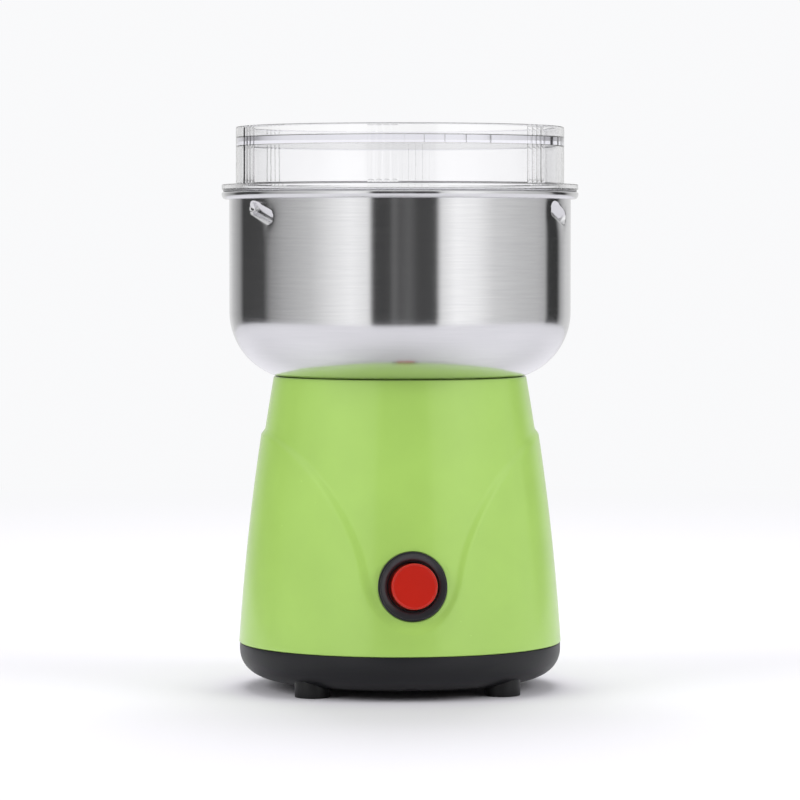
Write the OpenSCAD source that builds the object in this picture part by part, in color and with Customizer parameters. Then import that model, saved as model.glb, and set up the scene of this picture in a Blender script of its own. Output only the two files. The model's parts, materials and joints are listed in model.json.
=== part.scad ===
// Electric grain mill: steel bowl with a clear twist-on lid on a motor housing.
// Millimetres. The origin is on the floor under the shaft, +Z up, switch towards -Y.

/* [Housing] */
// Radius of the housing at the seam with the base cover
skirt_r = 50.4; // [49:0.1:52]
// Height of the housing from its seam to its top edge
housing_h = 83.4; // [82:0.1:88]
// Slope of the housing's side at the seam, sideways per unit of height
skirt_slope = 0.0648; // [0.055:0.0005:0.07]
// Curvature of the housing's side, sideways per unit of height squared
skirt_curve = 0.000661; // [0.0006:0.000005:0.0007]
// Wall thickness of the housing under its panels
housing_wall = 2.2; // [1.8:0.1:2.6]
// How far the skirt stands out over the front and back panels
panel_step = 1.0; // [0.6:0.1:1.3]
// Height of the skirt's top edge above the seam, at the sides
skirt_edge_h = 65.4; // [62:0.1:68]
// Lowest point of each panel's outline above the seam
panel_bottom_h = 7.6; // [7:0.1:9]
// Half-width of the panels' narrow lower part
panel_half_w = 15; // [14:0.1:16]
// Thickness of the deck that carries the bowl
deck_t = 3.0; // [2.5:0.1:3.5]
// Rounding of the housing's top edge
top_round = 0.6; // [0.3:0.1:1]

/* [Base] */
// Gap between the floor and the base cover's underside
foot_stand = 2.6; // [2.2:0.1:4]
// Height of the base cover
cover_h = 11.5; // [11:0.1:13]
// Wall thickness of the base cover
cover_wall = 2.2; // [1.8:0.1:2.6]
// Height of the upright band under the seam
cover_band_h = 1.6; // [1.2:0.1:3]
// Width of the base cover's rounded lower edge
cover_round_w = 13.5; // [12:0.1:15]
// Fullness of that rounding, 2 for an ellipse and more for a squarer edge
cover_fullness = 2.3; // [2:0.05:2.6]
// How far the cover's side stands in from the housing's
cover_inset = 0.2; // [0:0.05:0.5]
// Diameter of a foot
foot_d = 10.9; // [9:0.1:12]
// Distance of the feet from the centre
foot_ring_r = 41.3; // [39:0.1:42]
// Diameter of a base screw's shank
base_screw_d = 3.0; // [2.5:0.1:3.5]

/* [Bowl] */
// Outer radius of the bowl's wall
bowl_r = 53.3; // [53:0.1:55]
// Height of the bowl, from its underside to the top of its bead
bowl_h = 58.4; // [56:0.1:64]
// Thickness of the bowl's sheet
bowl_t = 0.7; // [0.5:0.05:0.9]
// Outer radius of the bowl's lower corner
bowl_corner = 21.0; // [20:0.1:22]
// Diameter of the rolled bead
bead_d = 2.4; // [2:0.1:2.8]
// How far the bowl sits down into the housing
nest = 1.2; // [0.9:0.1:1.6]
// Length of a bayonet ramp
ramp_l = 12.0; // [10:0.1:14]
// Width of a bayonet ramp
ramp_w = 4.2; // [3.6:0.1:4.6]
// How far a ramp is pressed into the bowl
ramp_depth = 1.7; // [1.3:0.1:1.9]
// Slope of a ramp
ramp_slope = 19; // [15:1:22]
// Turn of the rear ramp from straight back
ramp_clock = 2.5; // [0:0.5:5]

/* [Lid] */
// How far the lid's wall stands in from the bowl's wall
lid_inset = 2.1; // [1.7:0.1:2.5]
// Height of the lid above the seal
lid_h = 19.6; // [16:0.1:26]
// Thickness of the lid's wall
lid_wall = 1.8; // [1.4:0.1:2]
// Thickness of the lid's flange
lid_flange_t = 1.7; // [1.4:0.1:2.2]
// Depth of the recess in the lid's top
lid_recess = 3.5; // [2.5:0.1:5]
// Thickness of the lid's top plate
lid_plate_t = 2.4; // [1.8:0.1:3]
// Grip rib groups round the lid
rib_groups = 6; // [4:1:8]
// Ribs in one group
group_ribs = 10; // [6:1:10]
// Distance between ribs
rib_pitch = 0.95; // [0.85:0.01:1.1]
// Turn from the unlocked lid to the locked lid
lid_turn_angle = 24; // [22:1:28]

/* [Switch] */
// Height of the switch's centre above the seam
switch_h = 21.2; // [20.5:0.1:22]
// Diameter of the bezel
bezel_d = 21.0; // [20.6:0.1:22]
// Thickness of the bezel's rim
bezel_t = 2.3; // [2:0.1:3]
// Diameter of the opening in the bezel
bezel_hole_d = 15.9; // [15.7:0.1:16.4]
// Diameter of the cap
cap_d = 14.2; // [13.8:0.1:14.3]
// Travel of the cap
cap_travel = 2.5; // [2:0.1:2.8]
// How far the pressed cap still stands out of the bezel
cap_left_out = 0.6; // [0.3:0.1:1]

/* [Motor] */
// Diameter of the motor shaft
shaft_d = 6.0; // [5.5:0.1:6.5]
// Outer diameter of the stator
stator_d = 57.0; // [54:0.1:60]
// Gap between the motor's lowest screws and the base cover's floor
motor_floor_gap = 5.3; // [4.9:0.1:9]
// Room for the field coils and yoke between the armature and the stator's outside
field_t = 12.9; // [12.7:0.1:13.5]
// Slots in the armature, one per commutator bar
armature_slots = 12; // [10:1:12]
// Radius of the commutator
commutator_r = 8.0; // [7.5:0.1:8.4]
// Radius of the cooling fan
fan_r = 20.5; // [18:0.1:21]
// Blades of the cooling fan
fan_blades = 9; // [5:1:12]

/* [Blades] */
// Reach of the upper blade's tips
upper_blade_r = 35; // [28:1:38]
// Reach of the lower blade's tips
lower_blade_r = 31; // [26:1:34]
// Width of a blade
blade_w = 13; // [10:0.5:14]
// Thickness of a blade
blade_t = 1.5; // [1.2:0.1:2]
// Upward lean of the upper blade's arms
upper_blade_lean = 26; // [20:1:28]
// Downward lean of the lower blade's arms
lower_blade_lean = 7; // [4:1:8]

/* [Cord inlet] */
// Diameter of the gland's bore
gland_bore_d = 6.4; // [5.6:0.1:7]
// Height of the gland above the seam
gland_h = 9.5; // [9:0.1:11]

/* [Hidden] */
$fn = 96;
eps = 0.01;            // overlap of a cut past the face that it opens
over = 60;             // reach of a cut that runs past the whole object's side
running_gap = 0.05;    // shaft in its bearing
slide_gap = 0.3;       // pieces that move past each other
fit_gap = 0.1;         // pieces that are put together and stay
rest_gap = 0.05;       // under a seat that is laid on a curved bead

// Heights of the outside
seam_z = foot_stand + cover_h;
housing_top_z = seam_z + housing_h;
skirt_edge_z = seam_z + skirt_edge_h + panel_step / 2;
bowl_z = housing_top_z - nest;
bowl_floor_z = bowl_z + bowl_t;
rim_z = bowl_z + bowl_h;
deck_z = bowl_z - deck_t;
seal_t = 0.45;
seal_z = rim_z + rest_gap;
flange_z = seal_z + seal_t;
lid_top_z = flange_z + lid_h;

// The housing's side: skirt, the panel set back from it, and the inner wall
function skirt_at(z) = skirt_r - skirt_slope * (z - seam_z) - skirt_curve * pow(z - seam_z, 2);
function step_at(z) = panel_step * min(1, max(0.35, 0.35 + (z - seam_z - 14) / 46));
function panel_at(z) = skirt_at(z) - step_at(z);
function inner_at(z) = skirt_at(z) - panel_step - housing_wall;
side_steps = 12;
function side_z(i, low, high) = low + (high - low) * i / side_steps;

// Where the bowl's lower corner leaves its flat floor
bowl_flat_r = bowl_r - bowl_corner;
bowl_corner_z = bowl_z + bowl_corner;

// Motor heights, hung from the deck: bracket, fan and the top of the stator
damper_t = 1.5;
boss_h = 4.0;
bracket_t = 2.5;
top_plate_z = deck_z - damper_t - boss_h - bracket_t;
boss_ring_r = 20;
boss_r = 4.0;
boss_angles = [90, 210, 330];
screw_d = 3.0;
shaft_r = shaft_d / 2;
bearing_r = shaft_r + 2.6;
bearing_h = 7;
bearing_seat_r = bearing_r + 2.2;
top_bearing_z = top_plate_z - 1;
fan_h = 6.2;
fan_gap = 1.6;
fan_z = top_bearing_z - fan_gap - fan_h;
winding_end_h = 7;
winding_gap = 2.0;
stator_r = stator_d / 2;
stator_top_z = fan_z - winding_gap - winding_end_h;
armature_r = stator_r - field_t;
coil_end_h = 7;
commutator_h = 12;
riser_h = 1.5;
commutator_gap = 1.5;
bolt_d = 3.0;
bolt_head_r = 2.9;
bolt_head_h = 2.4;
bolt_ring_r = stator_r - bolt_d / 2 - 1;
post_r = bolt_d / 2 + 1.1;
bottom_plate_t = 3.0;

// and from the base cover's floor up: lower bracket, commutator, and a stack that takes the rest
cover_floor_z = foot_stand + cover_wall;
bottom_plate_z = cover_floor_z + motor_floor_gap + bolt_head_h;
bottom_bearing_z = bottom_plate_z;
commutator_z = bottom_bearing_z + bearing_h + commutator_gap;
stator_z = commutator_z + commutator_h + commutator_gap + winding_end_h;
stack_h = stator_top_z - stator_z;
shaft_end = 0.8;
shaft_z = bottom_bearing_z - shaft_end;

// Commutator brushes
brush_z = commutator_z + (commutator_h - riser_h) / 2;
brush_w = 4.6;
brush_h = 6.4;
holder_wall = 0.8;
holder_in = commutator_r + 1.6;
holder_out = bolt_ring_r - post_r - slide_gap;
brush_l = 8.2;
spring_wire = 0.5;

// Blade stack heights
seal_h = 4.9;
seal_top_z = bowl_floor_z + seal_h;
shaft_hole_gap = 0.6;
shaft_hole_r = bearing_seat_r + shaft_hole_gap;
spacer_h = 2.6;
spacer_z = seal_top_z + slide_gap;
lower_blade_z = spacer_z + spacer_h;
upper_blade_z = lower_blade_z + blade_t;
washer_t = 1.0;
washer_z = upper_blade_z + blade_t;
nut_z = washer_z + washer_t;
nut_h = 4.6;
shaft_top_z = nut_z + nut_h;

// Switch frame: on the flat that the bezel lies on, which just reaches the wall at the bezel's sides
switch_z = seam_z + switch_h;
switch_lean = atan(skirt_slope + 2 * skirt_curve * switch_h);
switch_wall_r = panel_at(switch_z);
seat_sink = switch_wall_r - sqrt(pow(switch_wall_r, 2) - pow(bezel_d / 2, 2));
seat_wall = 2.4;
nut_pocket_r = bezel_d / 2 + 1.5;
barrel_r = bezel_hole_d / 2 + 1.0;
barrel_l = 15.3;
barrel_floor_t = 2.0;
cap_flange_r = bezel_hole_d / 2 - slide_gap;
cap_r = cap_d / 2;
lip_t = 1.4;
lip_z = -2.1;
cap_flange_t = 1.5;
cap_flange_z = lip_z - slide_gap - cap_flange_t;
cap_wall = 1.7;
cap_front_z = bezel_t + cap_left_out + cap_travel;
cap_hollow_z = cap_front_z - cap_wall - 0.3;

// Feet, base screws and gland
foot_angles = [225, 315, 135, 45];
foot_stem_r = 2.4;
base_screw_angles = [270, 20, 160];
base_screw_ring = skirt_at(seam_z) - 9.2;
base_boss_r = 3.6;
web_t = 2.0;
base_head_r = 3.0;
base_head_z = foot_stand + 4.2;
gland_z = seam_z + gland_h;
gland_flange_r = gland_bore_d / 2 + 2.8;
gland_neck_r = gland_bore_d / 2 + 1.2;
gland_out_y = skirt_at(gland_z) - 0.8;
gland_in_y = inner_at(gland_z) + 0.1;
gland_flange_t = 1.8;

// Lid and its bayonet
ramp_angles = [for (i = [0 : 2]) 90 + ramp_clock + 120 * i];
ramp_z = rim_z - 6.8;
bowl_in_r = bowl_r - bowl_t;
bead_ring_r = bowl_r + bead_d / 2;
lid_r = bowl_r - lid_inset;
skirt_gap = 0.6;
lid_skirt_r = bowl_in_r - ramp_depth - skirt_gap;
lid_skirt_t = 1.4;
lug_w = 2.0;
lug_l = 7.6;
lug_drop = (ramp_w / 2 + lug_w / 2 + slide_gap + 0.05) / cos(ramp_slope);
lug_z = ramp_z - lug_drop;
lid_skirt_z = lug_z - 2.8;
lid_flange_r = bead_ring_r + 1.1;
rib_h = 0.32;
rib_clock = 10.4;

// ---- Shared shapes -------------------------------------------------------------

// A pipe standing on z = 0
module pipe(r_out, r_in, h) {
    difference() {
        cylinder(r = r_out, h = h);
        translate([0, 0, -eps]) cylinder(r = r_in, h = h + 2 * eps);
    }
}

// A ring sector between two radii and two angles
module sector(r_in, r_out, h, from, to) {
    rotate([0, 0, from]) rotate_extrude(angle = to - from) translate([r_in, 0]) square([r_out - r_in, h]);
}

// A flat slot with round ends, centred, w across and l long
module stadium(l, w) {
    square([l - w, w], center = true);
    for (side = [-1, 1]) translate([side * (l - w) / 2, 0]) circle(d = w, $fn = 32);
}

// A compression spring of round wire from z = 0 to z = length
module coil_spring(r, wire, length, turns) {
    ring = 6;
    steps = 14 * turns;
    rise = length - wire;
    points = [
        for (i = [0 : steps]) for (k = [0 : ring - 1])
            let (a = 360 * turns * i / steps, b = 360 * k / ring, rho = r + wire / 2 * cos(b))
            [rho * cos(a), rho * sin(a), wire / 2 + rise * i / steps + wire / 2 * sin(b)]
    ];
    sides = [
        for (i = [0 : steps - 1]) for (k = [0 : ring - 1])
            [i * ring + k, i * ring + (k + 1) % ring, (i + 1) * ring + (k + 1) % ring, (i + 1) * ring + k]
    ];
    first_end = [for (k = [0 : ring - 1]) ring - 1 - k];
    last_end = [for (k = [0 : ring - 1]) steps * ring + k];
    polyhedron(points = points, faces = concat(sides, [first_end], [last_end]), convexity = 10);
}

// Puts its children in the switch's frame: +Z out of the panel, square to it, from the bezel's seat
module at_switch() {
    translate([0, -switch_wall_r, switch_z]) rotate([90 - switch_lean, 0, 0])
        translate([0, 0, -seat_sink]) children();
}

// Puts its children in the gland's frame: +Z straight out of the back
module at_gland() {
    translate([0, 0, gland_z]) rotate([-90, 0, 0]) children();
}

// ---- Housing and base ----------------------------------------------------------

// Outline of a panel seen from the front, as half-width at a height above the seam: a round-bottomed
// slot that flares into the neck
panel_top_h = skirt_edge_h + panel_step / 2;
panel_flare_t = 0.3;
panel_rows = 14;
function panel_flare(u) = 38 * pow(u, 1.5) + 48 * pow(u, 6);
function panel_half(t) =
    panel_half_w * sqrt(1 - pow(1 - min(1, t / 0.36), 2)) + panel_flare(max(0, t - panel_flare_t));
panel_outline = [
    for (i = [0 : panel_rows])
        let (t = pow(i / panel_rows, 1.6))
        [panel_half(t), panel_bottom_h + (panel_top_h - panel_bottom_h) * t]
];

module panel_shape() {
    left = [for (i = [panel_rows : -1 : 1]) [-panel_outline[i][0], panel_outline[i][1]]];
    polygon(concat(panel_outline, left));
}

// The neck's top edge, under the bowl's lower corner
dish_gap = 0.15;
dish_r = bowl_corner + dish_gap;
neck_r = panel_at(housing_top_z);
neck_edge_a = asin((neck_r - top_round - bowl_flat_r) / dish_r);
neck_top_z = bowl_corner_z - dish_r * cos(neck_edge_a);

// What the panels and the neck above the skirt take off the housing's side
module panel_cut() {
    intersection() {
        rotate_extrude()
            polygon(concat(
                [for (i = [0 : side_steps])
                    let (z = side_z(i, seam_z + panel_bottom_h - 1, neck_top_z - top_round))
                    [panel_at(z), z]],
                [for (a = [18 : 18 : 90])
                    [neck_r - top_round + top_round * cos(a), neck_top_z - top_round + top_round * sin(a)]],
                [[neck_r - top_round, housing_top_z + 1], [over, housing_top_z + 1],
                    [over, seam_z + panel_bottom_h - 1]]
            ));
        union() {
            translate([0, 0, skirt_edge_z]) cylinder(r = over + 1, h = housing_h);
            translate([0, 0, seam_z]) rotate([90, 0, 0])
                translate([0, 0, -over]) linear_extrude(2 * over) panel_shape();
        }
    }
}

// The housing's wall, its deck and the dish that the bowl sits in
module housing_shell() {
    rotate_extrude()
        polygon(concat(
            [for (i = [0 : side_steps])
                let (z = side_z(i, seam_z, neck_top_z)) [skirt_at(z), z]],
            [for (i = [4 : -1 : 0])
                let (a = neck_edge_a * i / 4)
                [bowl_flat_r + dish_r * sin(a), bowl_corner_z - dish_r * cos(a)]],
            [[bowl_flat_r - 2, bowl_z - dish_gap], [bowl_flat_r - 2, bowl_z],
                [bearing_seat_r + 2, bowl_z], [bearing_seat_r + 2, deck_z], [inner_at(deck_z), deck_z]],
            [for (i = [side_steps : -1 : 0])
                let (z = side_z(i, seam_z, deck_z)) if (i < side_steps) [inner_at(z), z]]
        ));
}

// A post under the wall for one base screw, tied to the wall by a web
module base_boss() {
    wall_r = inner_at(seam_z) + 1;
    translate([base_screw_ring, 0, seam_z]) cylinder(r = base_boss_r, h = 9);
    translate([base_screw_ring, -web_t / 2, seam_z]) cube([wall_r - base_screw_ring, web_t, 9]);
}

module housing() {
    color([0.66, 0.83, 0.41]) difference() {
        union() {
            difference() {
                housing_shell();
                panel_cut();
            }
            intersection() {
                at_switch() translate([0, 0, -seat_wall]) cylinder(r = nut_pocket_r, h = seat_wall);
                cylinder(r = skirt_at(switch_z) - panel_step, h = housing_top_z);
            }
            intersection() {
                for (a = base_screw_angles) rotate([0, 0, a]) base_boss();
                cylinder(r = inner_at(seam_z) + 1, h = housing_top_z);
            }
        }
        at_switch() {
            cylinder(r = bezel_d / 2 + 0.25, h = 10);
            translate([0, 0, -10]) cylinder(r = barrel_r + fit_gap, h = 12);
            translate([0, 0, -seat_wall - 8]) cylinder(r = nut_pocket_r, h = 8);
        }
        at_gland() {
            translate([0, 0, gland_in_y - 3]) cylinder(r = gland_neck_r, h = 10);
            translate([0, 0, gland_out_y]) cylinder(r = gland_flange_r + 0.2, h = 10);
            translate([0, 0, gland_in_y - 4]) cylinder(r = gland_flange_r - 0.6, h = 4);
        }
        for (a = base_screw_angles)
            rotate([0, 0, a]) translate([base_screw_ring, 0, seam_z - eps]) cylinder(d = base_screw_d, h = 8);
        for (a = boss_angles)
            rotate([0, 0, a]) translate([boss_ring_r, 0, deck_z - eps]) cylinder(d = screw_d + 0.6, h = deck_t + 1);
    }
}

// The cover's rounded edge: a quarter of a superellipse from the upright band down to the flat underside
band_z = seam_z - cover_band_h;
cover_r = skirt_r - cover_inset;
cover_flat_r = cover_r - cover_round_w;
cover_round_h = band_z - foot_stand;
function cover_edge(a, inset) = [
    cover_flat_r + (cover_round_w - inset) * pow(cos(a), 2 / cover_fullness),
    band_z - (cover_round_h - inset) * pow(sin(a), 2 / cover_fullness)
];
function cover_low(r) = band_z
    - cover_round_h * pow(1 - pow(max(0, r - cover_flat_r) / cover_round_w, cover_fullness), 1 / cover_fullness);

// The feet stand in pockets that are just deep enough to close round them on the rounded edge
foot_seat_z = cover_low(foot_ring_r + foot_d / 2) + 0.2;
pocket_wall = 1.8;

// The cover's outside, filled
module cover_form() {
    rotate_extrude()
        polygon(concat(
            [[0, foot_stand]],
            [for (a = [90 : -7.5 : 0]) cover_edge(a, 0)],
            [[cover_r, seam_z], [0, seam_z]]
        ));
}

// The cover's wall and the lip that centres the housing on it
module cover_shell(lip_h) {
    lip_r = inner_at(seam_z + lip_h) - fit_gap;
    lip_t = 1.6;
    rotate_extrude()
        polygon(concat(
            [[0, foot_stand]],
            [for (a = [90 : -7.5 : 0]) cover_edge(a, 0)],
            [[cover_r, seam_z], [lip_r, seam_z], [lip_r, seam_z + lip_h], [lip_r - lip_t, seam_z + lip_h],
                [lip_r - lip_t, seam_z - 2]],
            [for (a = [15 : 7.5 : 90]) cover_edge(a, cover_wall)],
            [[0, cover_floor_z]]
        ));
}

module base_cover() {
    lip_h = 2.5;
    color([0.16, 0.16, 0.17]) difference() {
        union() {
            cover_shell(lip_h);
            intersection() {
                cover_form();
                union() {
                    for (a = base_screw_angles) rotate([0, 0, a]) translate([base_screw_ring, 0, foot_stand])
                        cylinder(r = base_boss_r + 0.6, h = cover_h);
                    for (a = foot_angles) rotate([0, 0, a]) translate([foot_ring_r, 0, foot_stand])
                        cylinder(r = foot_d / 2 + pocket_wall, h = foot_seat_z + pocket_wall - foot_stand);
                }
            }
        }
        for (a = base_screw_angles) rotate([0, 0, a]) translate([base_screw_ring, 0, 0]) {
            cylinder(d = base_screw_d + 0.4, h = seam_z + 1);
            cylinder(r = base_head_r + 0.3, h = base_head_z);
            translate([0, 0, seam_z]) cylinder(r = base_boss_r + 0.8, h = lip_h + 1);
            translate([0, -web_t, seam_z]) cube([over, 2 * web_t, lip_h + 1]);
        }
        for (a = foot_angles) rotate([0, 0, a]) translate([foot_ring_r, 0, 0]) {
            cylinder(r = foot_stem_r, h = seam_z);
            cylinder(r = foot_d / 2, h = foot_seat_z);
        }
        for (i = [-3 : 3])
            translate([i * 6, 0, 0]) linear_extrude(cover_floor_z + 1) rotate(90)
                stadium(2 * sqrt(pow(24, 2) - pow(i * 6, 2)), 2.4);
    }
}

// A rubber foot: a round pad with a stem that snaps through the floor of its pocket
module foot(angle) {
    head_z = foot_seat_z + pocket_wall;
    bevel = 0.4;
    color([0.1, 0.1, 0.11]) rotate([0, 0, angle]) translate([foot_ring_r, 0, 0])
        rotate_extrude()
            polygon([
                [0, 0], [foot_d / 2 - bevel, 0], [foot_d / 2, bevel], [foot_d / 2, foot_seat_z],
                [foot_stem_r, foot_seat_z], [foot_stem_r, head_z], [foot_stem_r + 0.9, head_z],
                [foot_stem_r - 0.6, head_z + 2.2], [0, head_z + 2.2]
            ]);
}

// Pan-head screw with a cross slot: the head under z = 0, the shank up
module pan_screw(d, head_r, head_h, l) {
    slot_w = d * 0.28;
    difference() {
        union() {
            cylinder(d = d, h = l);
            rotate_extrude()
                polygon([[0, 0], [head_r, 0], [head_r, -head_h * 0.45], [head_r * 0.7, -head_h * 0.9],
                    [head_r * 0.35, -head_h], [0, -head_h]]);
        }
        for (a = [0, 90])
            rotate([0, 0, a]) translate([0, 0, -head_h]) cube([head_r * 1.1, slot_w, head_h], center = true);
    }
}

module base_screws() {
    head_h = 1.9;
    grip = 6.5;
    color("silver") for (a = base_screw_angles)
        rotate([0, 0, a]) translate([base_screw_ring, 0, base_head_z])
            pan_screw(base_screw_d, base_head_r, head_h, seam_z - base_head_z + grip);
}

// Rubber bush that the cord would leave through
module cord_gland() {
    mouth = 0.6;
    bore_r = gland_bore_d / 2;
    in_z = gland_in_y - gland_flange_t;
    out_z = gland_out_y + gland_flange_t;
    color([0.12, 0.12, 0.13]) at_gland() rotate_extrude()
        polygon([
            [bore_r, in_z], [gland_neck_r + 0.8, in_z], [gland_neck_r + 0.8, gland_in_y],
            [gland_neck_r, gland_in_y], [gland_neck_r, gland_out_y], [gland_flange_r, gland_out_y],
            [gland_flange_r, out_z - mouth], [gland_flange_r - mouth, out_z], [bore_r, out_z]
        ]);
}

// ---- Switch --------------------------------------------------------------------

module switch_body() {
    bezel_r = bezel_d / 2;
    bore_r = bezel_hole_d / 2;
    back_z = -barrel_l;
    color([0.17, 0.16, 0.19]) at_switch() rotate_extrude()
        polygon([
            [0, back_z], [barrel_r, back_z], [barrel_r, 0], [bezel_r, 0],
            [bezel_r, bezel_t - 1.2], [bezel_r - 0.5, bezel_t - 0.4], [bezel_r - 1.3, bezel_t],
            [bore_r + 0.4, bezel_t], [bore_r, bezel_t - 0.4], [bore_r, lip_z + lip_t],
            [cap_r + slide_gap, lip_z + lip_t - 0.4], [cap_r + slide_gap, lip_z], [bore_r, lip_z],
            [bore_r, back_z + barrel_floor_t], [0, back_z + barrel_floor_t]
        ]);
}

module switch_nut() {
    nut_t = 3;
    color([0.2, 0.2, 0.22]) at_switch() translate([0, 0, -seat_wall - nut_t]) difference() {
        cylinder(r = bezel_d / 2 + 1, h = nut_t, $fn = 6);
        translate([0, 0, -eps]) cylinder(r = barrel_r, h = nut_t + 2 * eps);
    }
}

module switch_button() {
    dish = 0.15;
    color([0.73, 0.13, 0.07]) at_switch() rotate_extrude()
        polygon([
            [0, cap_hollow_z], [cap_r - cap_wall, cap_hollow_z], [cap_r - cap_wall, cap_flange_z],
            [cap_flange_r, cap_flange_z], [cap_flange_r, cap_flange_z + cap_flange_t],
            [cap_r, cap_flange_z + cap_flange_t], [cap_r, cap_front_z - 0.5], [cap_r - 0.15, cap_front_z - 0.15],
            [cap_r - 0.5, cap_front_z], [cap_r - 0.7, cap_front_z - dish],
            [0, cap_front_z - dish]
        ]);
}

module switch_spring() {
    coil_r = 4.2;
    wire = 0.6;
    low = barrel_floor_t - barrel_l;
    color("silver") at_switch() translate([0, 0, low]) coil_spring(coil_r, wire, cap_hollow_z - low, 6);
}

module switch_terminals() {
    tab_l = 7;
    tab_w = 4.8;
    tab_t = 0.8;
    tab_x = 4.5;
    eye_d = 1.6;
    color([0.8, 0.65, 0.3]) at_switch() for (side = [-1, 1])
        translate([side * tab_x - tab_t / 2, -tab_w / 2, -barrel_l - tab_l]) difference() {
            cube([tab_t, tab_w, tab_l]);
            translate([-1, tab_w / 2, eye_d * 1.25]) rotate([0, 90, 0]) cylinder(d = eye_d, h = 3, $fn = 24);
        }
}

// ---- Bowl ----------------------------------------------------------------------

// A slanted round-ended bar standing out from the shaft's axis at one ramp
module ramp_bar(angle, z, l, w, from_r, to_r) {
    rotate([0, 0, angle]) translate([from_r, 0, z]) rotate([0, 90, 0]) rotate([0, 0, 90 - ramp_slope])
        linear_extrude(to_r - from_r) stadium(l, w);
}

module bowl() {
    bead_r = bead_d / 2;
    bead_z = rim_z - bead_r;
    curl_r = bead_r + bowl_t;
    in_corner = bowl_corner - bowl_t;
    color([0.75, 0.75, 0.77]) difference() {
        union() {
            rotate_extrude()
                polygon(concat(
                    [[0, bowl_z]],
                    [for (a = [-90 : 7.5 : 0])
                        [bowl_flat_r + bowl_corner * cos(a), bowl_corner_z + bowl_corner * sin(a)]],
                    [[bowl_r, bead_z - bead_r * 0.5]],
                    [for (a = [-150 : 20 : 90])
                        [bead_ring_r + bead_r * cos(a), bead_z + bead_r * sin(a)]],
                    [for (a = [105 : 15 : 180])
                        [bead_ring_r + curl_r * cos(a), rim_z - curl_r + curl_r * sin(a)]],
                    [for (a = [0 : -7.5 : -90])
                        [bowl_flat_r + in_corner * cos(a), bowl_corner_z + in_corner * sin(a)]],
                    [[0, bowl_floor_z]]
                ));
            for (a = ramp_angles)
                ramp_bar(a, ramp_z, ramp_l, ramp_w, bowl_in_r - ramp_depth, bowl_r - bowl_t / 2);
        }
        for (a = ramp_angles)
            ramp_bar(a, ramp_z, ramp_l - 2 * bowl_t, ramp_w - 2 * bowl_t,
                bowl_in_r - ramp_depth + bowl_t, over);
        translate([0, 0, bowl_z - 1]) cylinder(r = shaft_hole_r, h = 4);
        for (a = boss_angles)
            rotate([0, 0, a]) translate([boss_ring_r, 0, bowl_z - 1]) cylinder(d = screw_d + 0.6, h = 4);
    }
}

washer_seal_t = 1.0;

module bowl_screws() {
    head_r = 3.2;
    head_h = 2.2;
    tap_floor = 1.0;
    color("silver") for (a = boss_angles)
        rotate([0, 0, a]) translate([boss_ring_r, 0, bowl_floor_z + washer_seal_t]) rotate([180, 0, 0])
            pan_screw(screw_d, head_r, head_h, bowl_floor_z + washer_seal_t - top_plate_z - tap_floor);
}

module bowl_washers() {
    color([0.15, 0.15, 0.16]) for (a = boss_angles)
        rotate([0, 0, a]) translate([boss_ring_r, 0, bowl_floor_z]) pipe(3.8, screw_d / 2, washer_seal_t);
}

// Moulded boss that closes the bowl's floor round the shaft
module shaft_seal() {
    flange_w = 4.5;
    flange_t = 1.0;
    neck_wall = 3.2;
    fillet = 1.5;
    flange_r = bearing_seat_r + flange_w;
    foot_z = bowl_z - deck_t / 2;
    top_r = shaft_r + neck_wall;
    color([0.13, 0.13, 0.14]) rotate_extrude()
        polygon([
            [shaft_r + slide_gap, foot_z], [shaft_hole_r, foot_z], [shaft_hole_r, bowl_floor_z],
            [flange_r, bowl_floor_z], [flange_r, bowl_floor_z + flange_t],
            [flange_r - flange_t * 0.8, bowl_floor_z + flange_t * 1.7],
            [top_r + fillet, bowl_floor_z + flange_t * 2.2], [top_r, bowl_floor_z + flange_t * 2.2 + fillet],
            [top_r, seal_top_z], [shaft_r + slide_gap, seal_top_z]
        ]);
}

// ---- Motor, fixed part -----------------------------------------------------------

module motor_dampers() {
    color([0.15, 0.15, 0.16]) for (a = boss_angles)
        rotate([0, 0, a]) translate([boss_ring_r, 0, deck_z - damper_t]) pipe(boss_r + 1, screw_d / 2, damper_t);
}

module motor_top_bracket() {
    seat_h = deck_z + deck_t / 2 - 0.5 - top_bearing_z;
    window_in = bearing_seat_r + 2.5;
    window_out = bolt_ring_r - post_r - 2;
    color([0.6, 0.6, 0.62]) difference() {
        union() {
            translate([0, 0, top_plate_z]) cylinder(r = bolt_ring_r + post_r + 0.6, h = bracket_t);
            translate([0, 0, top_bearing_z]) cylinder(r = bearing_seat_r, h = seat_h);
            for (side = [0, 180]) rotate([0, 0, side]) translate([bolt_ring_r, 0, stator_top_z])
                cylinder(r = post_r, h = top_plate_z + bracket_t - stator_top_z);
            for (a = boss_angles) rotate([0, 0, a]) translate([boss_ring_r, 0, top_plate_z])
                cylinder(r = boss_r, h = bracket_t + boss_h);
        }
        translate([0, 0, top_bearing_z - 1]) cylinder(r = shaft_r + slide_gap, h = seat_h + 2);
        translate([0, 0, top_bearing_z - 1]) cylinder(r = bearing_r, h = bearing_h + 1);
        for (side = [0, 180]) rotate([0, 0, side]) translate([bolt_ring_r, 0, stator_top_z - 1])
            cylinder(d = bolt_d, h = top_plate_z - stator_top_z + 2);
        for (a = boss_angles) rotate([0, 0, a]) translate([boss_ring_r, 0, top_plate_z + 1])
            cylinder(d = screw_d, h = bracket_t + boss_h);
        for (a = boss_angles) rotate([0, 0, a + 60])
            translate([0, 0, top_plate_z - 1]) sector(window_in, window_out, bracket_t + 2, -16, 16);
    }
}

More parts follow.
